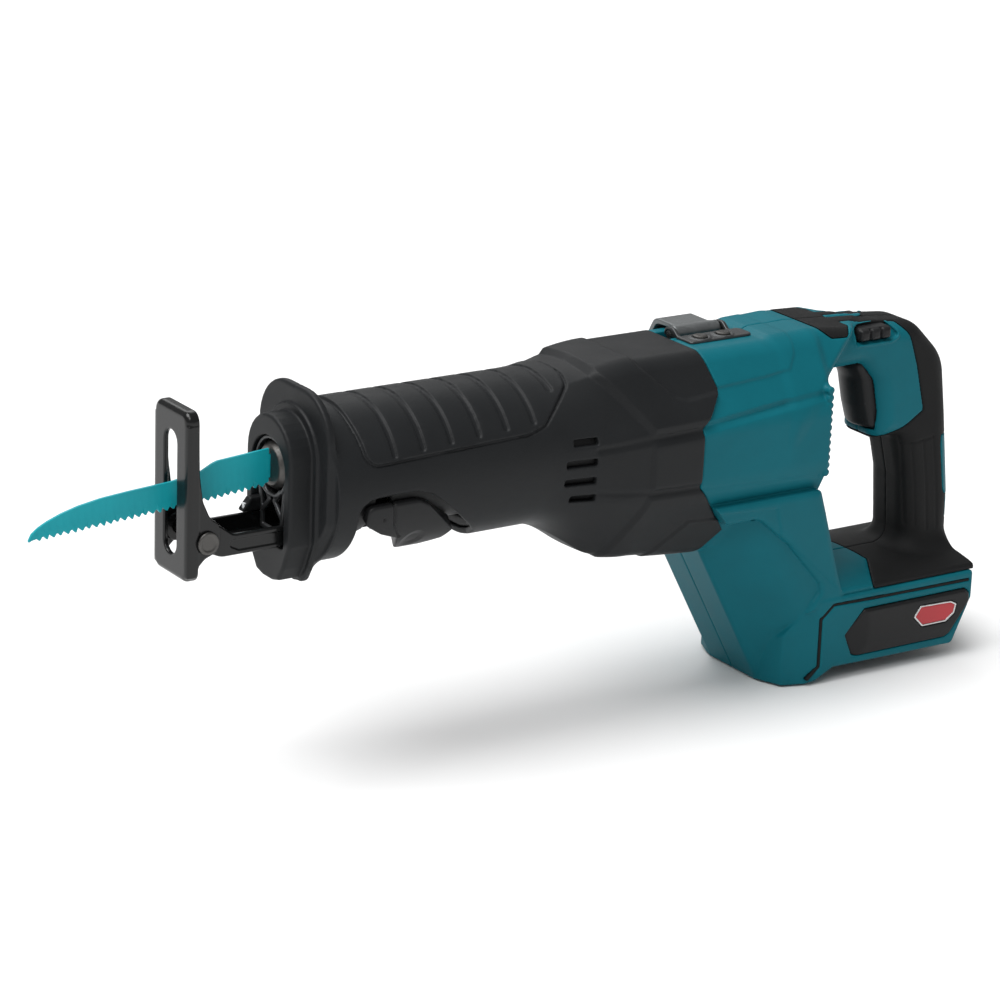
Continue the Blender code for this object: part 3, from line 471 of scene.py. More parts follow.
def collar(y, z, half, top, chin, shoulder):
    """Arch-topped outline of the nose, narrowing to the chin."""
    arch_z = top - half
    arch = [(half * math.cos(math.radians(a)), arch_z + half * math.sin(math.radians(a)))
            for a in range(0, 181, 12)]
    left = [(-half, shoulder), (-half * 0.72, chin + 8), (-half * 0.5, chin + 1.5), (-half * 0.2, chin)]
    return outline(y, z, arch + left + [(-u, v) for u, v in reversed(left)])


def handle_corners(grow=0):
    """Side outline of the D-handle's core, from the motor body round to the base."""
    return [
        (330, 31.0 + grow),
        (384, 30.0 + grow, 40),
        (412, 27.0 + grow, 20),
        (429.0 + grow, 10, 24),
        (433.5 + grow, -20, 40),
        (439.0 + grow, -62, 20),
        (440.0 + grow, -100),
        (417.0 - grow, -100),
        (413.0 - grow, -52, 12),
        (407.0 - grow, -26.0 - grow, 4),
        (392.0 - grow, -26.0 - grow, 3),
        (392.5 - grow, -14, 8),
        (389.0 - grow, 2, 8),
        (381.0 - grow, 14.0 - grow, 5),
        (330, 13.0 - grow),
    ]


def handle_side(x, z, grow=0):
    return outline(x, z, rounded(handle_corners(grow)))


def neck_field(x, y, z):
    """Facets that narrow from the motor body's shoulders to the handle's bar."""
    reach = np.abs(y)
    slant = (reach - HANDLE_HALF - (353.7 + 0.774 * (z - 13.8) - x) * 1.2) / 1.82
    slope = (reach - 40.0 + (z - 4.5 - (x - 338) * 0.12) * 0.613) / 1.17
    arch = outline(x, z, NECK)
    shape = both(both(reach - 40.5, slant, 2), slope, 2.5)
    return both(shape, arch, 3)


def handle_full(x, y, z):
    """The bar, rubber and shell together, with its neck and the crown that it stands on."""
    bar = both(handle_side(x, z, GRIP_SKIN), np.abs(y) - HANDLE_HALF, HANDLE_EDGE)
    crown = both(outline(x, z, CROWN), np.abs(y) - (BASE_HALF - 1), 1.5)
    crown = both(crown, z + 88.5 + 0.0038 * y * y, 1.5)
    return either(either(bar, neck_field(x, y, z), 3), crown, 9)


NECK = rounded([
    (316, 34.5), (345, 36.4), (384, 33.2), (384, 18), (372, 12.2), (362, 11.4, 5),
    (353.2, 6.5, 5), (351.5, -4, 4), (343.5, -22, 6), (334, -27), (316, -27)])
CROWN = rounded([(345, -80), (437, -80), (440.5, -93, 3), (440.5, BASE_TOP_Z - 0.2),
                 (345, BASE_TOP_Z - 0.2)])
# Side outline of the teal part, in front of the rubber.
ZONE = rounded([
    (240, 50), (326, 46.5), (346.4, 34.9, 4), (355.5, 28.7, 3), (365.9, 28.2, 1.5),
    (364.2, 37.3, 1.5), (386, 38.3, 6), (396.5, 33.6, 4), (405.5, 25, 8), (411.4, 8.1),
    (417.6, -15.8, 1.5), (403.5, -24.5), (396.5, -27.2, 4), (386, -27.2), (386, -60),
    (384, -80), (387, -88.5), (395, BASE_TOP_Z - 12), (240, BASE_TOP_Z - 12)])
TOP_INSERT = [(364, 31), (388, 31), (388, 43), (364, 43)]
REAR_INSERTS = [
    rounded([(431.2, -31), (446, -31), (446, -62.8), (437.6, -63.8), (434.6, -60.4, 2),
             (431, -36, 2)]),
    rounded([(438, -65), (446, -64), (446, -76.4), (438.6, -76.4, 1)]),
]


def teal_windows(x, y, z):
    """Where the teal shell shows through the handle's rubber, negative inside."""
    wider = np.maximum(np.abs(y) - HANDLE_HALF, 0)
    strip = both(both(np.abs(y) - 9.5, 20.0 - z), 348.0 - x, 2)
    flat = without(outline(x + 0.85 * wider, z - 0.4 * wider, ZONE), strip)
    for insert in REAR_INSERTS:
        flat = np.minimum(flat, outline(x, z, insert))
    return np.minimum(flat, both(outline(x, z, TOP_INSERT), np.abs(y - 1) - 2))


# ---------------------------------------------------------------- boot

PAD = rounded([
    (79, -30), (79, 20, 20), (81, 43.5, 7), (168, 40.5, 12), (178, 37.5, 8),
    (196, 20, 8), (198.5, 12, 6), (198.5, -30)])
PAD_GROOVES = 7
PAD_GROOVE_X = 95.5
PAD_GROOVE_PITCH = 15.25
VENTS = ((191, 203.5, 4.6), (187, 203, -5), (187, 203, -14), (191.5, 204, -23))
# Raised and sunk plates of the flare, seen from the side.
PLATE_UPPER = [(207, 60), (208, 31), (215, 24), (232, 3.2), (300, 4.4), (300, 60)]
PLATE_SHOULDER = [(230, 60), (232.5, 33), (248.5, 18), (255, 16), (300, 19.5), (300, 60)]
PLATE_SIDE = [(231.5, 0.8), (300, 1.8), (300, -26), (231.5, -23)]
PLATE_LOWER = [(230.5, -25), (300, -27.5), (300, -80), (205, -80), (217, -57)]
PLATE_HEEL = [(240, -62), (259.5, -43), (300, -47), (300, -80), (236, -80)]
# Corners are x and degrees below the horizontal.
LEVER_RECESS = [(76.5, 112), (76.5, 24), (78, 20), (82, 16.5), (90, 15.3), (106, 15.3),
                (114, 18.5), (125, 31), (140, 51), (146, 62), (149, 75), (149, 112)]
ARC = math.radians(1) * 37.0  # millimetres along the barrel for each degree
RELEASE_BUTTON = (103, -27.2)
FLANGE = rounded([
    (-31, -16, 6), (-31, 41, 23), (31, 41, 23), (31, -16, 6),
    (16, -38, 6), (9, -50, 5), (-9, -50, 5), (-16, -38, 6)], 10)


def below_axis(y, z):
    """Degrees below the horizontal about the stroke axis, on the left side."""
    return np.degrees(np.arctan2(STROKE_Z - z, -y)) % 360.0


def arc_outline(x, y, z, points):
    """An outline drawn round the barrel: corners are (x, degrees below the horizontal)."""
    return outline(x, below_axis(y, z) * ARC, [(u, v * ARC) for u, v in points])


def pad_fields(x, y, z):
    """The grip pad's outline and its cross grooves, laid round the barrel."""
    arc = np.arctan2(np.abs(y), z - BARREL_Z) * BARREL_R
    pad = outline(x, arc, PAD)
    grooves = None
    for i in range(PAD_GROOVES):
        centre = PAD_GROOVE_X + PAD_GROOVE_PITCH * i
        end = 39.5 - 0.95 * i if i < 6 else 20.0
        line = path(x, arc, [(centre, -5), (centre, end)]) - 1.35
        grooves = line if grooves is None else np.minimum(grooves, line)
    return pad, grooves


def flare_plates(shell, x, z):
    """The flare's raised and sunk plates, and the two creases along its side."""
    shell = raised(shell, outline(x, z, PLATE_UPPER), 2.4, 4)
    shell = raised(shell, outline(x, z, PLATE_SHOULDER), -1.2, 1.4)
    shell = raised(shell, outline(x, z, PLATE_SIDE), 1.1, 1.8)
    shell = raised(shell, outline(x, z, PLATE_LOWER), 1.6, 2.6)
    shell = raised(shell, outline(x, z, PLATE_HEEL), 1, 1.6)
    shell = grooved(shell, path(x, z, [(204, 0.4), (231, 2), (300, 3.2)]), 5, 1)
    return grooved(shell, path(x, z, [(205, -21), (231, -23.5), (300, -26.5)]), 4, 0.6)


def nose_collar(shell, x, y, z):
    """The flange with its moulding seam, the border on it and the collar in front."""
    seam = 0.4 * np.clip(1.0 - np.abs(y) / 0.7, 0, 1)
    flange = both(outline(y, z, FLANGE) + seam, between(x, 62.2, 66.4), 1.5)
    shell = either(shell, flange, 3)
    border = both(collar(y, z, 23, 32.5, -49.5, -26), between(x, 60.9, 64), 0.5)
    shell = either(shell, border, 0.4)
    nose = both(collar(y, z, 19.5, 29, -48, -28), between(x, 49.5, 64), 1.6)
    return either(shell, nose, 0.8)


def boot_field(x, y, z):
    """The rubber boot: plates, pad, collar, and the openings for the nose, lever, button and air."""
    shell = flare_plates(boot_section(x, y, z), x, z)
    pad, grooves = pad_fields(x, y, z)
    shell = raised(shell, pad, 0.7, 0.8)
    shell = engraved(shell, np.abs(pad + 0.2) - 0.7, 0.9, 0.3)
    shell = engraved(shell, both(grooves, pad), 0.9, 0.4)
    shell = both(shell, boot_reach(x, z), 0.8)
    shell = nose_collar(both(shell, 65.0 - x), x, y, z)
    # The hollow that the gear case fills, and the nose's opening.
    shell = without(shell, both(boot_section(x, y, z, SKIN), 70.0 - x))
    bore = both(disc(y, z, (0, NOSE_Z), 16), between(x, 52, 71))
    mouth = both(disc(y, z, (0, NOSE_Z), 14.5), between(x, 40, 53))
    slot = both(both(np.abs(y) - 14.2, between(z, -30.5, -3), 1.5), between(x, 40, 71))
    shell = without(shell, np.minimum(bore, np.minimum(mouth, slot)), 0.5)
    recess = both(arc_outline(x, y, z, LEVER_RECESS), 30.0 - np.hypot(y, z - STROKE_Z))
    shell = without(shell, recess, 0.8)
    for start, end, height in VENTS:
        hole = both(between(x, start, end), between(z, height - 1.7, height + 1.7), 0.7)
        shell = without(shell, both(hole, 10.0 - np.abs(y)), 0.5)
    return without(shell, both(disc(x, z, RELEASE_BUTTON, 4.4), 10.0 - y), 0.5)


def make_boot():
    mould("rubber_boot", boot_field, ((49, -44, -69), (286, 44, 43)), STEP, "housing",
          RUBBER, ["front_boot"], 0.45)


# ---------------------------------------------------------------- gear case

def casing_field(x, y, z):
    """Hollow casting that fills the boot, with a seat for the clamp lever and its arm's slot."""
    about = np.hypot(y, z - STROKE_Z)
    shape = both(boot_section(x, y, z, SKIN + GAP), between(x, 70.6, 242), 0.8)
    hollow = both(boot_section(x, y, z, SKIN + GAP + 3.2), between(x, 74, 250))
    hollow = both(hollow, mix(about - 32.4, -200, ramp(x, 150, 152)))
    shape = without(shape, hollow, 1)
    seat = both(arc_outline(x, y, z, LEVER_RECESS) - 0.6, 35.9 - about)
    shape = without(shape, seat, 0.4)
    swing = both(20.0 - below_axis(y, z), below_axis(y, z) - 80) * 0.6
    arm = both(both(between(x, 86.2, 94.2), swing), 15.0 - about)
    shape = without(shape, arm)
    channel = both(both(np.abs(y) - 14, between(z, -30.6, -12)), between(x, 60, 118))
    front = both(about - 12.6, between(x, 60, 80))
    shape = without(shape, np.minimum(channel, front), 0.4)
    around = disc(y, z, (0, NOSE_Z), 0)
    tube = both(both(around - 15.7, 13.0 - around), between(x, 53.6, 72), 0.4)
    shape = np.minimum(shape, both(tube, -11.0 - z, 0.2))
    return without(shape, both(disc(x, z, RELEASE_BUTTON, 4.8), 10.0 - y))


def make_gear_case():
    mould("gear_casing", casing_field, ((53, -40, -64), (242.5, 40, 33)), STEP * 1.2,
          "housing", CASING, ["gear_case"], 0.5)


# ---------------------------------------------------------------- housing

LEG_FRONT = 283.6
FRONT_LEAN = 0.546
REAR_LEAN = 0.356
LEG_FLARE = 0.49  # how fast the sides widen towards the rear
SCREW_PLACES = ((346, 22), (402, 21.5), (431, -88), (325, -124), (335, -52),
                (298, -74))
BASE_SIDE = rounded([
    (337.5, BASE_TOP_Z), (439.5, BASE_TOP_Z, 2), (439.5, -111.5, 3), (428.6, -134.8, 3),
    (352, -134, 2), (341, -139.4, 2), (336, BOTTOM_Z + 0.4), (319, BOTTOM_Z + 0.4),
    (319.5, -119), (330.5, -107)])
SEAL_LINE = [(436.5, -101.9), (372.4, -101.2), (350.2, -100.6), (342.6, -107.1), (342.8, -131.8),
             (336.4, -137.5)]
PANEL = [(358.5, -118), (369.5, -106.2), (434.3, -106.2), (437.2, -108.8), (437.6, -113.2),
         (426, -128.4), (422.8, -130), (365.8, -129.9), (363.2, -128.9)]
UPPER_PANEL = [(200, 18.5), (274, 18.5), (305, 20), (319, 21.5), (324, 28),
               (331, 60), (200, 60)]
UPPER_CREASE = [(240, 3), (261, 3.2), (333, 9.2), (350, 10.5)]
LOWER_CREASE = [(240, -26), (262, -26.3), (333, -30.5)]
WALL = [(262, -38), (262.8, -48.2), (296.1, -47.5), (300.4, -48.7), (318.6, -63.9),
        (340.3, -88.1), (341.3, -92.4), (338.5, -96), (334, -103), (370, -103), (370, -38)]
WALL_STEP = [(262, -40.4), (307.7, -43.5), (312.5, -58.5), (360, -100), (380, -38),
             (262, -30)]
LOCK_RECESS = rounded([(370.6, 32, 1), (391.5, 32.9, 2), (399, 25.5, 1.5), (393.5, 23.4, 1),
                       (371, 23.4, 1)])
LOCK_HOLE = rounded([(372.4, 24, 1.5), (393.6, 24, 1.5), (393.6, 31.6, 1.5), (372.4, 31.6, 1.5)])
TRIGGER_WINDOW = rounded([(360, -24.2), (408.8, -24.2, 1), (408.8, 16.4, 2), (364, 16.4, 2),
                          (356, 8)])
BLENDED = [(316, -26), (362, -26), (362, 60), (316, 60)]  # the neck melts into the body
UNDER_BOOT = [(200, 70), (300, 70), (300, -66), (200, -66)]
RIBS = 12
RIB_PITCH = 3.75


def rear_of_leg(x, z):
    return (x - 340.0 - REAR_LEAN * (-52.0 - z)) / 1.06


def leg_field(x, y, z):
    """The leg: a narrow front face, and sides that flare back to the full width."""
    front = LEG_FRONT + FRONT_LEAN * (-75.3 - z)
    reach = np.abs(y)
    flare = (reach - 19.5 - (x - front) * LEG_FLARE) / math.hypot(1, LEG_FLARE)
    shape = both((front - x) / math.hypot(1, FRONT_LEAN), flare, 1.2)
    shape = both(shape, rear_of_leg(x, z), 1.5)
    shape = both(shape, reach - 36.5, 2.5)
    shape = both(shape, z + 50)
    return both(shape, BOTTOM_Z - z, 1)


def leg_wall_field(x, y, z):
    """The outer wall from the motor body down to the base, standing proud of the leg's flare."""
    wall = both(outline(x, z, WALL), rear_of_leg(x, z), 1.5)
    half = mix(41.5, 38.5, ramp(-z, 34, 90))
    slanted = both(np.abs(y) - half, wall * 0.72 + np.abs(y) - half + 1.2, 0.6)
    return both(raised(slanted, outline(x, z, WALL_STEP), 0.7, 0.8), wall, 0.6)


def base_field(x, y, z):
    """The battery base with its cut-back front corners and the seal line."""
    reach = np.abs(y)
    base = both(outline(x, z, BASE_SIDE), reach - BASE_HALF, 1.6)
    base = both(base, (reach - 22.0 - (x - 319.5) * 2.44) / 2.64, 1)
    base = both(base, (reach - 33.0 - (x - 324) * 0.316) / 1.05, 0.8)
    return engraved(base, path(x, z, SEAL_LINE) - 0.8, 2, 0.15)


def housing_outside(x, y, z):
    body = both(body_section(y, z), between(x, 243, BODY_REAR_X), 1)
    body = raised(body, outline(x, z, UPPER_PANEL), 0.9, 1.6)
    body = grooved(body, path(x, z, UPPER_CREASE), 5.5, 1.8)
    body = grooved(body, path(x, z, LOWER_CREASE), 2.6, 0.35)
    for i in range(RIBS):
        rib = both(disc(x, z, (337.6, 11.5 - RIB_PITCH * i), 1.9), between(np.abs(y), 30, 41), 0.6)
        body = either(body, rib, 0.2)
    shape = either(body, leg_field(x, y, z), 1)
    shape = either(shape, leg_wall_field(x, y, z), 0.6)
    return either(shape, base_field(x, y, z), 0.8)


def housing_hollows(x, y, z):
    """Room for the motor, the switch, the wiring, the battery, the button, the panels and the hook."""
    reach = np.abs(y)
    return [
        both(disc(y, z, (0, MOTOR_Z), 30.6), between(x, 230, 276)),
        both(disc(y, z, (0, MOTOR_Z), 11.3), between(x, 275, 286)),
        both(between(x, 306, 332), both(reach - 14, between(z, -84, 20))),
        both(between(x, 352, 460), both(reach - 34, between(z, -160, -114))),
        both(outline(x, z, TRIGGER_WINDOW), reach - 11.5),
        both(between(x, 408, 424.5), both(reach - 9.6, between(z, -20, 12))),
        both(outline(x, z, LOCK_HOLE), reach - 60),
        both(between(x, 265, 307), both(between(y, 2.8, 14.5), between(z, 30.6, 60))),
        both(outline(x, z, PANEL) - GAP, BASE_HALF - 2.6 - reach),
    ]


def split(shape, x, y, z, side, edge):
    """One half of a shape, with the screw wells in the right one."""
    if side > 0:
        for place in SCREW_PLACES:
            shape = without(shape, both(disc(x, z, place, 4.2), 9.0 - y), 0.4)
    return both(shape, 0.12 - side * y, edge)


def housing_field(side):
    """One clamshell half; the side is -1 on the left and +1 on the right."""
    def field(x, y, z):
        shape = housing_outside(x, y, z)
        # Under the boot the shell steps in by the rubber's thickness.
        inner = both(boot_section(x, y, z, SKIN + GAP + 0.4), between(x, 243, 300))
        behind = both(outline(x, z, UNDER_BOOT), body_section(y, z, -9))
        behind = both(boot_reach(x, z, GAP), behind)
        shape = np.minimum(without(shape, behind, 0.5), both(inner, shape))
        # The teal part of the handle, its recess for the lock button, and the core under the rubber.
        recess = outline(x, z, LOCK_RECESS)
        full = raised(handle_full(x, y, z), recess - 1.4, 0.6, 0.4)
        full = engraved(full, recess, 2, 0.3)
        teal = teal_windows(x, y, z) + 0.15
        window = both(full, teal, 0.35)
        core_half = HANDLE_HALF - GRIP_SKIN - 0.3
        core = both(handle_side(x, z), np.abs(y) - core_half, HANDLE_EDGE - 3)
        shape = either(shape, both(full, outline(x, z, BLENDED)), 6)
        shape = both(shape, np.minimum(teal, x - 342), 0.2)
        shape = np.minimum(np.minimum(shape, base_field(x, y, z)), np.minimum(window, core))
        for hollow in housing_hollows(x, y, z):
            shape = without(shape, hollow, 0.3)
        for x_hook in HOOK_SCREW_X:
            hole = disc(x, y, (x_hook, HOOK_SCREW_Y), 2)
            shape = without(shape, both(hole, between(z, 22, 60)))
        return split(shape, x, y, z, side, 0.35)
    return field


def make_housing():
    for name, side in (("left", -1), ("right", 1)):
        low, high = sorted((side * -1, side * 44))
        box = ((242, low, -142.5), (444.5, high, 40))
        mould("housing_shell_" + name, housing_field(side), box, STEP, "housing", TEAL,
              ["housing_" + name], 0.6)


# ---------------------------------------------------------------- grips

GRIP_LINES = [
    [(407.5, -33), (411.5, -52), (414, -76)],
    [(412, -32.5), (416, -54), (418.5, -78)],
    [(419, -32), (423, -56), (425.5, -80)],
    [(425.5, -31), (429.5, -56), (432, -80)],
    [(405.5, -28.5), (407.5, -33), (425.5, -31)],
]


def grip_field(side):
    """Rubber on one side of the handle, with its moulded lines."""
    def field(x, y, z):
        shape = handle_full(x, y, z)
        for line in GRIP_LINES:
            shape = grooved(shape, path(x, z, line), 1.5, 0.5)
        core_half = HANDLE_HALF - GRIP_SKIN
        core = both(handle_side(x, z), np.abs(y) - core_half, HANDLE_EDGE - 3.2)
        shape = without(shape, core)
        shape = without(shape, teal_windows(x, y, z) - 0.15, 0.35)
        shape = without(shape, both(outline(x, z, TRIGGER_WINDOW), np.abs(y) - 11.5))
        shape = both(shape, 340.0 - x)
        shape = without(shape, housing_outside(x, y, z) - GAP)
        return split(shape, x, y, z, side, 0.3)
    return field


def make_grips():
    for name, side in (("left", -1), ("right", 1)):
        low, high = sorted((side * -1, side * 40))
        box = ((338, low, -98.5), (444.5, high, 39))
        mould("handle_grip_" + name, grip_field(side), box, STEP, "housing", GRIP_RUBBER,
              ["grip_" + name], 0.7)


# ---------------------------------------------------------------- shoe and its bracket

SHOE_FACE = rounded([(-15.5, -38.5, 5), (15.5, -38.5, 5), (15.5, 40, 5), (-15.5, 40, 5)])
LUG = rounded([
    (0.5, 34), (5.6, 34), (6.2, 14), (8.2, -1, 12), (12, -9.5, 8), (17, -13, 5.5),
    (17.2, -25, 6), (9.5, -28, 5), (5.4, -32, 2), (5, -36), (0.5, -36)])
ARM = rounded([(3.6, -13.6, 6.6), (17, -13.6, 6), (25, -19.6, 5), (74.5, -19.6), (74.5, -29.5),
               (19, -29.5, 9), (14, -27.2, 4), (3.6, -27.2, 6.6)])
ARM_POCKET = rounded([(24, -22, 1.5), (71, -22, 1.5), (71, -27.4, 1.5), (28, -27.4, 2),
                      (23, -25, 1.5)])

ARM_SPACE = [(-5, -60), (23, -60), (23, -27.4), (90, -27.4), (90, 0), (-5, 0)]


def shoe_field(x, y, z):
    """A pressed tray with a slot, and two lugs for its pivot."""
    face = outline(y, z, SHOE_FACE)
    tray = both(both(face, -x, 2.8), x - 6.2, 0.7)
    tray = without(tray, both(face + 2.3, 2.4 - x), 0.5)
    lugs = both(outline(x, z, LUG), between(np.abs(y), 13.2, 15.45), 0.7)
    shape = either(tray, lugs, 0.8)
    shape = without(shape, both(path(y, z, [(0, -22.6), (0, 23.6)]) - 5.5, x - 10), 0.8)
    return without(shape, disc(x, z, PIVOT, 2.8))


def pin_field(x, y, z):
    """Rivet with a shallow dish in each head."""
    radius = disc(x, z, PIVOT, 0)
    head = both(radius - 5.3, between(np.abs(y), 15.75, 17.4), 0.7)
    head = without(head, both(radius - 3.6, 17.05 - np.abs(y)), 0.3)
    return np.minimum(head, both(radius - 2.5, np.abs(y) - 16.5))


def bracket_field(x, y, z):
    """Two arms with a pressed pocket each, the web between them and the notched tongue."""
    side = outline(x, z, ARM)
    shape = both(side, np.abs(y) - 13, 1)
    shape = without(shape, both(outline(x, z, ARM_SPACE), np.abs(y) - 10.6), 0.5)
    pocket = both(outline(x, z, ARM_POCKET), 12.3 - np.abs(y))
    shape = without(shape, pocket, 0.4)
    tongue = both(between(x, 70, 112), both(np.abs(y) - 7, between(z, -29.5, -27.2)), 0.3)
    shape = np.minimum(shape, tongue)
    for i in range(3):
        start = 84.5 + 8.0 * i
        shape = without(shape, both(between(x, start, start + 5), 3.0 - y))
    return without(shape, disc(x, z, PIVOT, 2.8), 0.2)


def make_shoe():
    mould("shoe_plate", shoe_field, ((-0.5, -16, -39), (18, 16, 40.5)), FINE, "shoe",
          GLOSS, ["shoe"])
    mould("pivot_rivet", pin_field, ((4.5, -17.6, -26), (16, 17.6, -14.5)), FINE, "shoe",
          DARK, ["shoe_pivot_pin"])
    mould("shoe_arms", bracket_field, ((3, -13.3, -30), (112.5, 13.3, -13)), FINE, "shoe_bracket",
          GLOSS, ["shoe_bracket"])


# ---------------------------------------------------------------- blade and clamp

BLADE_BACK = [(-69, -11.3), (-67.6, -8.6), (-64.5, -6.2), (-60, -3.9), (-53, -1.3), (-45, 0.8),
              (-34, 2.6), (-20, 3.8), (0, 5), (15, 7.4), (21, 10.4), (23.5, 11.2), (49.6, 13.2)]
BLADE_HALF = 0.65
TOOTH_PITCH = 3.45
TEETH = 33


def blade_back(x):
    return float(np.interp(x, [u for u, _ in BLADE_BACK], [v for _, v in BLADE_BACK]))


def blade_edge(x):
    """Height of the line that the tooth tips follow."""
    return mix(-6.6, -4, (x - 18) / 32) if x > 18.0 else mix(-12.3, -6.6, (x + 69) / 87)


def blade_stations():
    """Cross-sections from the shank to the tip: x, lower edge, upper edge and the tooth's bend."""
    stations = [(66, -0.4, 10.4, 0), (49.6, -0.4, 10.4, 0), (49.6, -2.4, 13.2, 0)]
    for i in range(TEETH):
        tip = 46.5 - TOOTH_PITCH * i
        depth = 1.9 if i % 2 else 1.4
        bend = (0, 0.4, 0, -0.4)[i % 4]
        tooth = ((1.25, depth, 0), (0.3, 0, bend), (-0.3, 0.1, bend), (-1.5, depth * 0.8, 0))
        for along, height, turn in tooth:
            x = tip + along
            stations.append((x, blade_edge(x) + height, blade_back(x), turn))
    stations.append((-67.6, -11.4, -8.6, 0))
    stations.append((-69, -12, -11.3, 0))
    return stations


def make_blade():
    """Painted pruning blade: hooked teeth in pairs, their tips bent to the two sides in turn."""
    bm = bmesh.new()
    rings = []
    for x, low, high, bend in blade_stations():
        middle = min(low + 3, (low + high) / 2)
        ring = [(-BLADE_HALF + bend, low), (-BLADE_HALF, middle), (-BLADE_HALF, high),
                (BLADE_HALF, high), (BLADE_HALF, middle), (BLADE_HALF + bend, low)]
        rings.append([bm.verts.new(DATUM + Vector((x, y, z)) * MM) for y, z in ring])
    for one, two in zip(rings, rings[1:]):
        for i in range(6):
            j = (i + 1) % 6
            bm.faces.new((one[i], one[j], two[j], two[i]))
    bm.faces.new(rings[0])
    bm.faces.new(rings[-1])
    bmesh.ops.recalc_face_normals(bm, faces=bm.faces)
    mesh = bpy.data.meshes.new("saw_blade")
    bm.to_mesh(mesh)
    bm.free()
    new_piece("saw_blade", mesh, "plunger", BLADE_PAINT, ["blade"])


LEVER = rounded([
    (80.3, 34, 4), (80.3, 21.5, 4), (107, 21.5, 6), (113, 26, 4), (131, 51, 1.5),
    (128.5, 61, 2), (118, 67, 2), (105, 67, 4), (100, 50, 5), (90, 43.5, 4)])


def lever_field(x, y, z):
    """Clamp lever that follows the barrel: a rounded head, a finger scoop and its arm to the cam ring."""
    angle = below_axis(y, z)
    arc = angle * ARC
    flat = outline(x, arc, [(u, v * ARC) for u, v in LEVER])
    outer = np.hypot(y, z - BARREL_Z) - (BARREL_R + 0.7)
    shape = both(flat, both(outer, 36.3 - np.hypot(y, z - STROKE_Z), 0.4), 1)
    scoop = np.hypot(x - 110, (angle - 54) * ARC) - 6.0
    shape = shape + 0.8 * np.clip(-scoop / 3, 0, 1)
    crease = path(x, arc, [(93.5, 20.0 * ARC), (95.5, 36.0 * ARC), (101, 48.0 * ARC)])
    shape = grooved(shape, crease, 1.8, 0.9)
    shape = grooved(shape, np.hypot(x - 89.5, (angle - 31) * ARC), 2.4, 1)
    arm = both(both(between(x, 87, 93.4), between(angle, 28, 42) * 0.45),
               between(np.hypot(y, z - STROKE_Z), 17.3, 37), 0.4)
    return np.minimum(shape, arm)


def sleeve_field(x, y, z):
    """Clamp sleeve with a chamfered nose, turned grooves, the blade's slot and the cross hole."""
    radius = np.hypot(y, z - STROKE_Z)
    shape = both(radius - 11.4, between(x, 50, 75), 1.6)
    shape = both(shape, radius - 9.0 - (x - 50) * 0.8, 0.3)
    shape = without(shape, both(both(np.abs(y) - 0.95, between(z, -0.7, 10.7)), x - 67))
    for x_groove in (56, 66, 69.5):
        shape = grooved(shape, np.abs(x - x_groove), 1.6, 0.5)
    return without(shape, np.hypot(x - 59, z - STROKE_Z) - 2.6, 0.3)


def make_clamp():
    mould("clamp_handle", lever_field, ((79, -38, -43), (133, 2, -3)), FINE, "clamp_lever",
          BLACK, ["clamp_lever"])
    mould("clamp_nose", sleeve_field, ((49.5, -12, -7), (75.5, 12, 17)), FINE, "plunger",
          DARK, ["clamp_sleeve"])


# ---------------------------------------------------------------- nose casting and lamp

STRUTS = (((7, -6), (2, -11.5)), ((2, -11.5), (8.8, -18.5)), ((8.8, -18.5), (8.8, -25.5)),
          ((11.2, -4), (9, -17.5)))


def nose_field(x, y, z):
    """Front of the gear case: a stepped ring with struts down to the bracket's channel."""
    radius = np.hypot(y, z - STROKE_Z + 0.5)
    ring = both(both(radius - 14.2, 12.6 - radius, 0.3), between(x, 50.9, 53.3), 0.4)
    struts = None
    for line in STRUTS:
        bar = path(np.abs(y), z, line) - 1.1
        struts = bar if struts is None else np.minimum(struts, bar)
    struts = np.minimum(struts, path(y, z, [(-8.8, -25.5), (8.8, -25.5)]) - 1.1)
    return either(ring, both(struts, between(x, 51.3, 53.3), 0.3), 0.6)


def lamp_field(x, y, z):
    """Hooded lamp beside the nose."""
    hood = rounded([(41.5, -18.9, 0.8), (53, -18.9), (53, -12.5), (46.5, -12.5, 1)])
    shape = both(outline(x, z, hood), between(y, 9.4, 13.9), 0.8)
    mouth = both(between(y, 10.3, 13), between(z, -18.2, -14))
    return without(shape, both(between(x, 40, 45), mouth), 0.2)


def make_nose():
    mould("nose_casting", nose_field, ((50.5, -15, -28), (53.6, 15, 20)), FINE, "housing",
          CAST)
    mould("lamp_hood", lamp_field, ((41, 9, -19.2), (53.4, 14.2, -12.2)), FINE, "housing",
          BLACK, ["lamp_housing"])


# ---------------------------------------------------------------- controls

TRIGGER = rounded([(372.4, 12.2, 3), (392, 14.5, 3), (408, 8), (408, -23.2),
                   (385, -23.2, 3), (381.4, -12, 14), (378, 3, 10)])
BUTTON = rounded([(373, 24.6, 2), (393, 24.6, 2), (393, 31, 2), (373, 31, 2)])


def trigger_field(x, y, z):
    """Trigger with a rounded finger face, and a seat behind for its spring."""
    swept = x - 5.0 * (y / 11) ** 2
    shape = both(outline(swept, z, TRIGGER), np.abs(y) - 11, 1.6)
    shape = without(shape, both(np.hypot(y, z + 4) - 3.8, 394.0 - x))
    return both(shape, x - 402)


def button_field(x, y, z):
    """Cross button with three upright ribs at each end."""
    shape = both(outline(x, z, BUTTON), np.abs(y) - 15.6, 0.8)
    for i in range(3):
        centre = 376.4 + 6.6 * i
        rib = both(between(x, centre - 2.9, centre + 2.9), between(z, 24.9, 30.7), 1.4)
        shape = either(shape, both(rib, np.abs(y) - 17.6, 2), 0.3)
    return shape


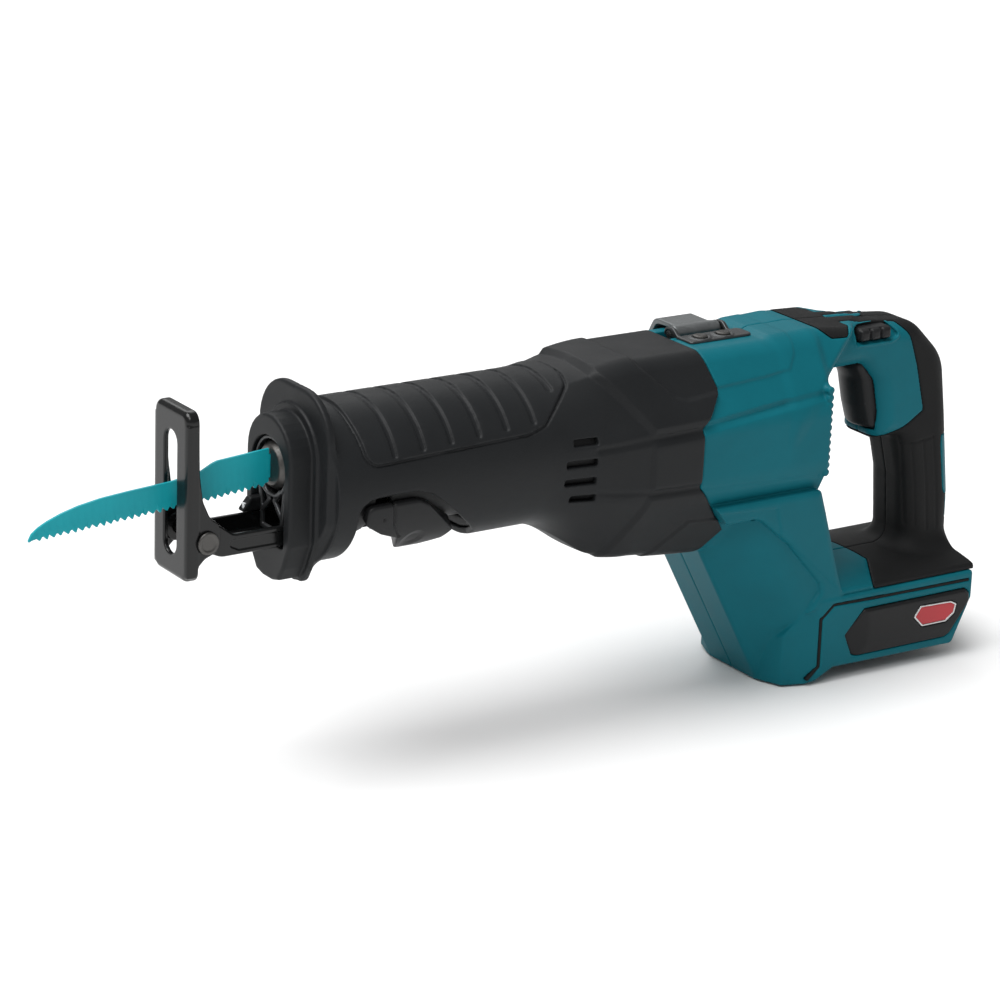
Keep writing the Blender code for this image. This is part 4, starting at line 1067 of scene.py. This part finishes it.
def make_controls():
    mould("trigger_lever", trigger_field, ((371.5, -11.3, -23.8), (402.4, 11.3, 15.2)), FINE, "trigger",
          BLACK, ["trigger"])
    mould("lock_off_button", button_field, ((372.6, -18, 24.2), (393.4, 18, 31.4)), FINE,
          "trigger_lock", BLACK, ["trigger_lock_button"])


# ---------------------------------------------------------------- side panels and badges

BADGE = [(401.8, -115.6), (405.3, -110.8), (424.3, -111.4), (427.7, -113.1), (426.8, -117.3),
         (421.9, -120.7), (406.9, -120.7)]


def panel_field(x, y, z):
    """Raised black panel, its border and its front corner cut to facets."""
    flat = outline(x, z, PANEL)
    reach = np.abs(y)
    face = reach - 40.2
    shape = both(flat, face, 0.4)
    shape = np.maximum(shape, (flat + face + 1.2) * 0.7071)
    front = (reach - 40.2 + (371.5 - x) * 0.22) * 0.97
    shape = both(shape, front, 0.3)
    lower = (reach - 40.2 + (-124.0 - z) * 0.16) * 0.98
    shape = both(shape, lower, 0.3)
    shape = both(shape, 36.8 - reach)
    return engraved(shape, outline(x, z, BADGE) - 1, 0.8, 0.2)


def gasket_field(x, y, z):
    """Black seal pressed into the groove round the panel."""
    return both(path(x, z, SEAL_LINE) - 0.75, between(np.abs(y), 36.6, 38.7), 0.3)


def mount_field(x, y, z):
    """Plate and two hooked rails that a battery slides on, their rear ends cut at a slant."""
    reach = np.abs(y)
    side = [(352.7, -114.6), (438, -114.6), (438, -117.5), (428, -130.8), (352.7, -130.8)]
    rail = [(33.4, -115), (33.4, -130.8), (27.2, -130.8), (27.2, -127.2), (30.4, -127.2), (30.4, -115)]
    plate = both(between(z, -118.8, -114.6), reach - 33.4, 0.5)
    shape = either(plate, outline(reach, z, rail), 0.6)
    for i in range(3):
        groove = both(between(x, 398.0 + 9.0 * i, 402.0 + 9.0 * i), reach - 24, 1)
        shape = without(shape, both(groove, z + 116.6))
    return both(shape, outline(x, z, side), 0.4)


def badge_field(grow, low, high, hollow=False):
    def field(x, y, z):
        flat = outline(x, z, BADGE)
        shape = both(flat - grow, between(np.abs(y), low, high), 0.25)
        return without(shape, flat + 0.25, 0.15) if hollow else shape
    return field


def make_panels():
    for name, side in (("left", -1), ("right", 1)):
        low, high = sorted((side * 36.4, side * 42))
        box = ((358, low, -132.5), (439.5, high, -105.5))
        small = ((401, low, -123.5), (433, high, -110.5))
        mould("base_panel_" + name, panel_field, box, FINE, "housing", BLACK,
              ["side_panel_" + name], 0.4)
        mould("badge_rim_" + name, badge_field(0.7, 39.2, 40.4, True), small, FINE * 0.75, "housing",
              SILVER)
        mould("badge_plate_" + name, badge_field(-0.1, 39.3, 40.2), small, FINE, "housing",
              RED, ["badge_" + name])
        low, high = sorted((side * 36.4, side * 38.9))
        seal = ((334, low, -139.5), (438.5, high, -99.5))
        mould("base_gasket_" + name, gasket_field, seal, FINE, "housing", GRIP_RUBBER)
    mould("battery_rails", mount_field, ((352.5, -33.6, -131), (438.4, 33.6, -114.4)), STEP, "housing",
          BLACK, ["battery_mount"], 0.5)


# ---------------------------------------------------------------- hook

HOOK_PLATE = rounded([(274, -11, 2), (311, -11, 3), (311, 0.6, 3), (274, 0.6, 0.5)])
HOOK_EAR = rounded([(-3, 34.4), (11.2, 34.4, 1.5), (11.2, 39, 3.4), (4, 39, 3.4), (0, 36, 2),
                    (-3, 36)])


def hook_field(x, y, z):
    """Hanging hook of rolled plate: its eye, and the arm folded down the right shoulder."""
    eye = disc(y, z, HOOK_AXIS, 0)
    roll = both(eye - 3.9, between(x, 276.5, 302.8), 0.3)
    plate = rounded([(7.5, 36.2), (24, 36.2, 4), (40.6, 9.4, 3), (39.2, 8.2), (41.7, 7.8, 0.6),
                     (41.9, 11.6, 4), (26, 38.6, 5), (9, 38.6)])
    arm = both(outline(y, z, plate), between(x, 279, 300), 0.5)
    return without(either(roll, arm, 0.6), eye - 2.3, 0.2)


def hook_bracket_field(x, y, z):
    """Pressed plate with two sunk screw seats, and an ear at each end of the hook's eye."""
    shape = both(outline(x, y, HOOK_PLATE), between(z, 34.3, 36.1), 0.5)
    for x_ear in (275.1, 304.2):
        ear = both(outline(y, z, HOOK_EAR), between(x, x_ear - 1, x_ear + 1), 0.3)
        shape = either(shape, ear, 0.4)
    for x_screw in HOOK_SCREW_X:
        around = disc(x, y, (x_screw, HOOK_SCREW_Y), 0)
        shape = either(shape, both(between(around, 4, 5.2), between(z, 35, 36.5), 0.3), 0.5)
        shape = without(shape, around - 2.3)
    return without(shape, both(disc(y, z, HOOK_AXIS, 2.3), 3.0 - y))


def make_hook():
    mould("hook_arm", hook_field, ((276, 3, 7), (303.5, 42.2, 39.5)), FINE, "hook",
          HOOK_STEEL, ["hanging_hook"])
    mould("hook_plate", hook_bracket_field, ((273.5, -11.5, 34), (311.5, 11.6, 39.4)), FINE, "housing",
          PLATE_STEEL, ["hook_bracket"])


# ---------------------------------------------------------------- stage

FLOOR_HALF = 14.0  # metres
FLOOR_Z = -0.0005


def make_stage():
    """A plain pale floor under a soft sky, with two lamps for the edges."""
    floor = bpy.data.meshes.new("floor")
    corners = [(FLOOR_HALF * u, FLOOR_HALF * v, FLOOR_Z) for u, v in ((-1, -1), (1, -1), (1, 1), (-1, 1))]
    floor.from_pydata(corners, [], [(0, 1, 2, 3)])
    ground = bpy.data.objects.new("floor", floor)
    bpy.context.scene.collection.objects.link(ground)
    material = bpy.data.materials.new("floor")
    material.use_nodes = True
    shader = material.node_tree.nodes["Principled BSDF"]
    shader.inputs["Base Color"].default_value = (0.86, 0.86, 0.86, 1)
    shader.inputs["Roughness"].default_value = 0.9
    floor.materials.append(material)
    world = bpy.data.worlds.new("studio")
    bpy.context.scene.world = world
    world.use_nodes = True
    world.node_tree.nodes["Background"].inputs["Color"].default_value = (1, 1, 1, 1)
    world.node_tree.nodes["Background"].inputs["Strength"].default_value = 0.3
    lamps = (
        ("sky", "SUN", (-0.6, 0.1, 1.5), math.radians(40), 3),
        ("key", "AREA", (-1.3, -1.5, 2.2), 1.2, 22),
        ("back", "AREA", (0.6, 1.8, 1.8), 1.6, 14),
    )
    middle = (cad_box[0] + cad_box[1]) / 2
    for name, kind, place, size, power in lamps:
        data = bpy.data.lights.new(name, kind)
        if kind == "SUN":
            data.angle = size
        else:
            data.size = size
        data.energy = power
        lamp = bpy.data.objects.new(name, data)
        lamp.location = middle + Vector(place)
        lamp.rotation_mode = "QUATERNION"
        lamp.rotation_quaternion = (-Vector(place)).to_track_quat("-Z", "Y")
        bpy.context.scene.collection.objects.link(lamp)
    bpy.context.scene.view_settings.view_transform = "Standard"


def make_camera():
    """Left of the nose and a little above, with a long lens and a slight roll."""
    azimuth, elevation, roll = [math.radians(a) for a in (-34.3, 18.5, 2.2)]
    back = Vector((math.sin(azimuth) * math.cos(elevation), -math.cos(azimuth) * math.cos(elevation),
                   math.sin(elevation)))
    right = Vector((math.cos(azimuth), math.sin(azimuth), 0))
    up = back.cross(right)
    across = right * math.cos(roll) + up * math.sin(roll)
    upward = up * math.cos(roll) - right * math.sin(roll)
    camera = bpy.data.objects.new("camera", bpy.data.cameras.new("camera"))
    camera.data.lens = 129.6
    camera.data.sensor_width = 36.0
    turned = Matrix((across, upward, back)).transposed()
    place = DATUM + Vector((-724.35, -1318.92, 503.53)) * MM
    camera.matrix_world = Matrix.Translation(place) @ turned.to_4x4()
    bpy.context.scene.collection.objects.link(camera)
    bpy.context.scene.camera = camera


DARK_SCREWS = ("hook_screw_1", "hook_screw_2")


def finish_nodes():
    """Every CAD node that still shows gets its slot's procedural material."""
    slots = {entry["node"]: entry["material_slot"] for entry in frame["record"]["subparts"]}
    for name, node in frame["nodes"].items():
        if node.hide_render:
            continue
        node.data.materials.clear()
        node.data.materials.append(DARK if name in DARK_SCREWS else FINISHES[slots[name]])


make_camera()
make_stage()
make_boot()
make_gear_case()
make_housing()
make_grips()
make_shoe()
make_blade()
make_clamp()
make_nose()
make_controls()
make_panels()
make_hook()
finish_nodes()
